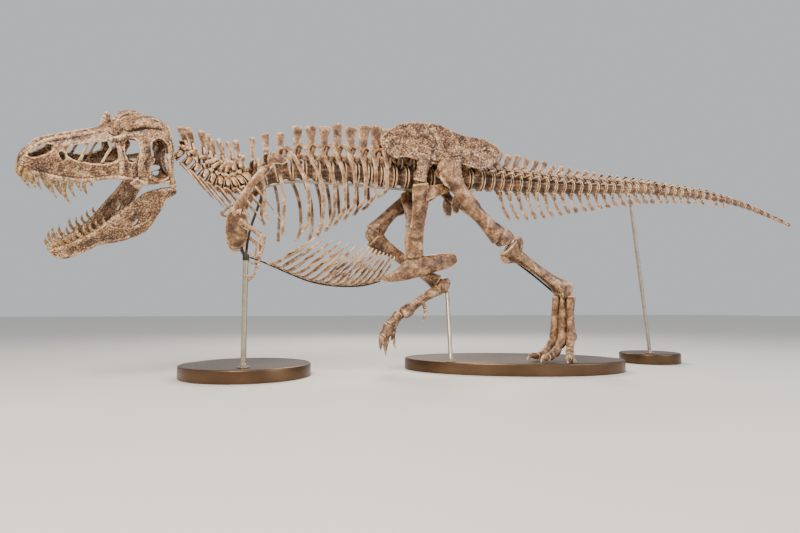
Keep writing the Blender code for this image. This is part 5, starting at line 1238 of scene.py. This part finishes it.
# Cylinder stretched to its oval, its top edge bevelled and a shallow rim pressed round the top
def drum(word):
    shape = bases[word]
    height = bases["height"]
    deselect()
    bpy.ops.mesh.primitive_cylinder_add(
        vertices=128, radius=1, depth=height, location=(0, 0, 0), end_fill_type="NGON")
    obj = bpy.context.object
    for vert in obj.data.vertices:
        vert.co.x *= shape["radii"][0]
        vert.co.y *= shape["radii"][1]
    bpy.ops.object.mode_set(mode="EDIT")
    bpy.ops.mesh.select_mode(type="FACE")
    bpy.ops.mesh.select_all(action="DESELECT")
    bpy.ops.object.mode_set(mode="OBJECT")
    for face in obj.data.polygons:
        face.select = face.normal.z > 0.9
    bpy.ops.object.mode_set(mode="EDIT")
    for thickness, depth in ((0.045, 0), (0.004, -0.003), (0.20, 0), (0.15, 0)):
        bpy.ops.mesh.inset(thickness=thickness, depth=depth)
    bpy.ops.object.mode_set(mode="OBJECT")
    obj.matrix_world = Matrix.Translation((*shape["centre"], height / 2)) @ Matrix.Rotation(
        math.radians(shape["turn"]), 4, "Z")
    pick(obj)
    bpy.ops.object.transform_apply(location=True, rotation=True, scale=True)
    useModifier(obj, "BEVEL", width=bases["round"], segments=4, limit_method="ANGLE", angle_limit=bevelled)
    pick(obj)
    bpy.ops.object.shade_smooth_by_angle(angle=shallow)
    obj.name = "base_" + word
    return obj


for word in ("front", "middle", "tail"):
    keep(drum(word), "stand_base_" + word, bronze)


# Bent tube: a curve with a round bevel through the points, made a mesh
def tubeThrough(name, points, radius, node, material, samples=None):
    deselect()
    curve = bpy.data.curves.new(name, "CURVE")
    curve.dimensions = "3D"
    curve.bevel_depth = radius
    curve.bevel_resolution = 5
    curve.use_fill_caps = True
    rows = alongKeys(points, np.linspace(0, 1, samples or len(points) * 6))
    spline = curve.splines.new("POLY")
    spline.points.add(len(rows) - 1)
    for point, row in zip(spline.points, rows):
        point.co = (*row, 1)
    obj = bpy.data.objects.new(name, curve)
    bpy.context.collection.objects.link(obj)
    pick(obj)
    bpy.ops.object.convert(target="MESH")
    obj = bpy.context.object
    bpy.ops.object.mode_set(mode="EDIT")
    bpy.ops.mesh.select_all(action="SELECT")
    bpy.ops.mesh.remove_doubles(threshold=0.0001)
    bpy.ops.object.mode_set(mode="OBJECT")
    bpy.ops.object.shade_smooth_by_angle(angle=math.radians(40))
    obj.name = name
    return keep(obj, node, material)


# Round steel foot with a raised collar and four bolt heads
def footPlate(name, x, y, radius, node):
    z = bases["height"]
    deselect()
    pieces = []
    for around, size, depth, rise in ((48, radius, 0.012, 0.006), (32, radius * 0.62, 0.05, 0.025)):
        bpy.ops.mesh.primitive_cylinder_add(vertices=around, radius=size, depth=depth,
                                            location=(x, y, z + rise))
        pieces.append(bpy.context.object)
    for i in range(4):
        angle = math.pi / 4 + i * math.pi / 2
        spot = (x + radius * 0.82 * math.cos(angle), y + radius * 0.82 * math.sin(angle), z + 0.011)
        bpy.ops.mesh.primitive_cylinder_add(vertices=6, radius=0.009, depth=0.022, location=spot)
        pieces.append(bpy.context.object)
    plate = merged(pieces)
    bpy.ops.object.transform_apply(location=True, rotation=True, scale=True)
    useModifier(plate, "BEVEL", width=0.0025, segments=2, limit_method="ANGLE", angle_limit=bevelled)
    pick(plate)
    bpy.ops.object.shade_smooth_by_angle(angle=shallow)
    plate.name = name
    return keep(plate, node, steel)


# Points beside the column, one bar's radius and 1 mm off the bodies, on the way right and down given
def besideSpine(first, last, count, right, down, bar):
    points = []
    for x in np.linspace(first, last, count):
        centre = onSpine(float(x))[0]
        radius = between(columnSizes, float(x))[0]
        away = Vector((0, right, -down)).normalized() * (bar + 0.001)
        points.append(tuple(centre + Vector((0, right * radius, -down * radius)) + away))
    return points


top = bases["height"]
rodX, rodY, hub = -2.635, -0.16, 1.53
footPlate("foot_front", rodX, rodY, 0.078, "stand_rod_front")
tubeThrough("rod_front", [(rodX, rodY, top), (rodX, rodY, hub)], 0.034, "stand_rod_front", steel)
tubeThrough("hub_front", [(rodX, rodY, hub - 0.02), (rodX, rodY, hub + 0.06)], 0.040, "stand_bracket_front",
            darkSteel)
for word, side in sides:
    tubeThrough("bracket_arm_" + word, [
        (rodX, rodY, hub + 0.03), (rodX - 0.02, rodY * 0.6 + side * 0.08, hub + 0.06),
        (-2.69, side * 0.20, hub + 0.15), (-2.70, side * 0.275, hub + 0.27)],
        0.015, "stand_bracket_front", darkSteel)
tubeThrough("bracket_spine", [
    (rodX, rodY, hub + 0.03), (-2.60, -0.06, 1.87), (-2.50, 0, 2.22), (-2.40, 0, 2.525)],
    0.017, "stand_bracket_front", darkSteel)
tubeThrough("bar_spine", besideSpine(-2.42, 0.60, 16, 0, 0.90, 0.020), 0.020, "stand_spine_bar", steel)
tubeThrough("bar_tail", besideSpine(0.62, 4.90, 24, 0.75, 0.43, 0.020), 0.020, "stand_tail_bar", steel)
footPlate("foot_ankle", 0.15, -0.17, 0.072, "stand_rod_ankle")
tubeThrough("rod_ankle", [(0.15, -0.17, top), (0.20, 0.0, 0.60), (0.26, 0.22, 1.16)], 0.029,
            "stand_rod_ankle", steel)
footPlate("foot_heel", 1.70, -0.81, 0.046, "stand_rod_heel")
tubeThrough("rod_heel", [(1.70, -0.81, top), (1.86, -0.56, 0.43)], 0.015, "stand_rod_heel", steel)
tubeThrough("rod_shin", [(1.00, -0.30, 1.66), (1.45, -0.28, 1.37), (1.80, -0.24, 1.13)], 0.015,
            "stand_rod_shin", darkSteel)
footPlate("foot_tail", 3.88, 0.20, 0.072, "stand_rod_tail")
tubeThrough("rod_tail", [(3.88, 0.20, top), (3.44, 0.03, 2.775)], 0.029, "stand_rod_tail", steel)
tubeThrough("bar_belly", [(rodX, rodY, hub + 0.035)] + [(x, 0, z) for x, z in bellyLine], 0.011,
            "stand_belly_bar", darkSteel, 40)
print("stand made")


# Stage, lights and camera

floorLook = bpy.data.materials.new("palePaintedFloor")
floorLook.use_nodes = True
floorShader = floorLook.node_tree.nodes["Principled BSDF"]
floorShader.inputs["Base Color"].default_value = linear("#d9d6d0")
floorShader.inputs["Roughness"].default_value = 0.6
deselect()
bpy.ops.mesh.primitive_plane_add(size=160, location=(1, 0, 0))
floor = bpy.context.object
floor.name = "floor"
floor.data.materials.append(floorLook)

lights = [              # name, place, target, size, watts, colour
    ("keyLight", (-5.5, -7.5, 8.5), (-0.5, 0, 2.0), 4.5, 1900, "#fff1de"),
    ("fillLight", (7.5, -8.0, 5.5), (1.5, 0, 1.8), 7.0, 750, "#eef2ff"),
    ("backLight", (2.0, 8.0, 8.5), (0.5, 0, 2.2), 5.0, 900, "#fff6ea")]
for name, place, target, size, watts, colour in lights:
    data = bpy.data.lights.new(name, "AREA")
    data.shape = "DISK"
    data.size = size
    data.energy = watts
    data.color = linear(colour)[:3]
    lamp = bpy.data.objects.new(name, data)
    bpy.context.collection.objects.link(lamp)
    lamp.location = place
    lamp.rotation_euler = (Vector(target) - Vector(place)).to_track_quat("-Z", "Y").to_euler()
world = bpy.data.worlds.new("studio")
world.use_nodes = True
world.node_tree.nodes["Background"].inputs["Color"].default_value = linear("#e4e6ea")
world.node_tree.nodes["Background"].inputs["Strength"].default_value = 0.75
bpy.context.scene.world = world

camera = dict(place=(-2.733, -7.172, 0.88), turn=17.0, pitch=4.7, lens=24.0)
lens = bpy.data.cameras.new("galleryCamera")
lens.lens = camera["lens"]
lens.sensor_width = 36
viewer = bpy.data.objects.new("galleryCamera", lens)
bpy.context.collection.objects.link(viewer)
viewer.location = camera["place"]
aim = Vector((math.sin(math.radians(camera["turn"])) * math.cos(math.radians(camera["pitch"])),
              math.cos(math.radians(camera["turn"])) * math.cos(math.radians(camera["pitch"])),
              math.sin(math.radians(camera["pitch"]))))
viewer.rotation_euler = aim.to_track_quat("-Z", "Y").to_euler()
bpy.context.scene.camera = viewer
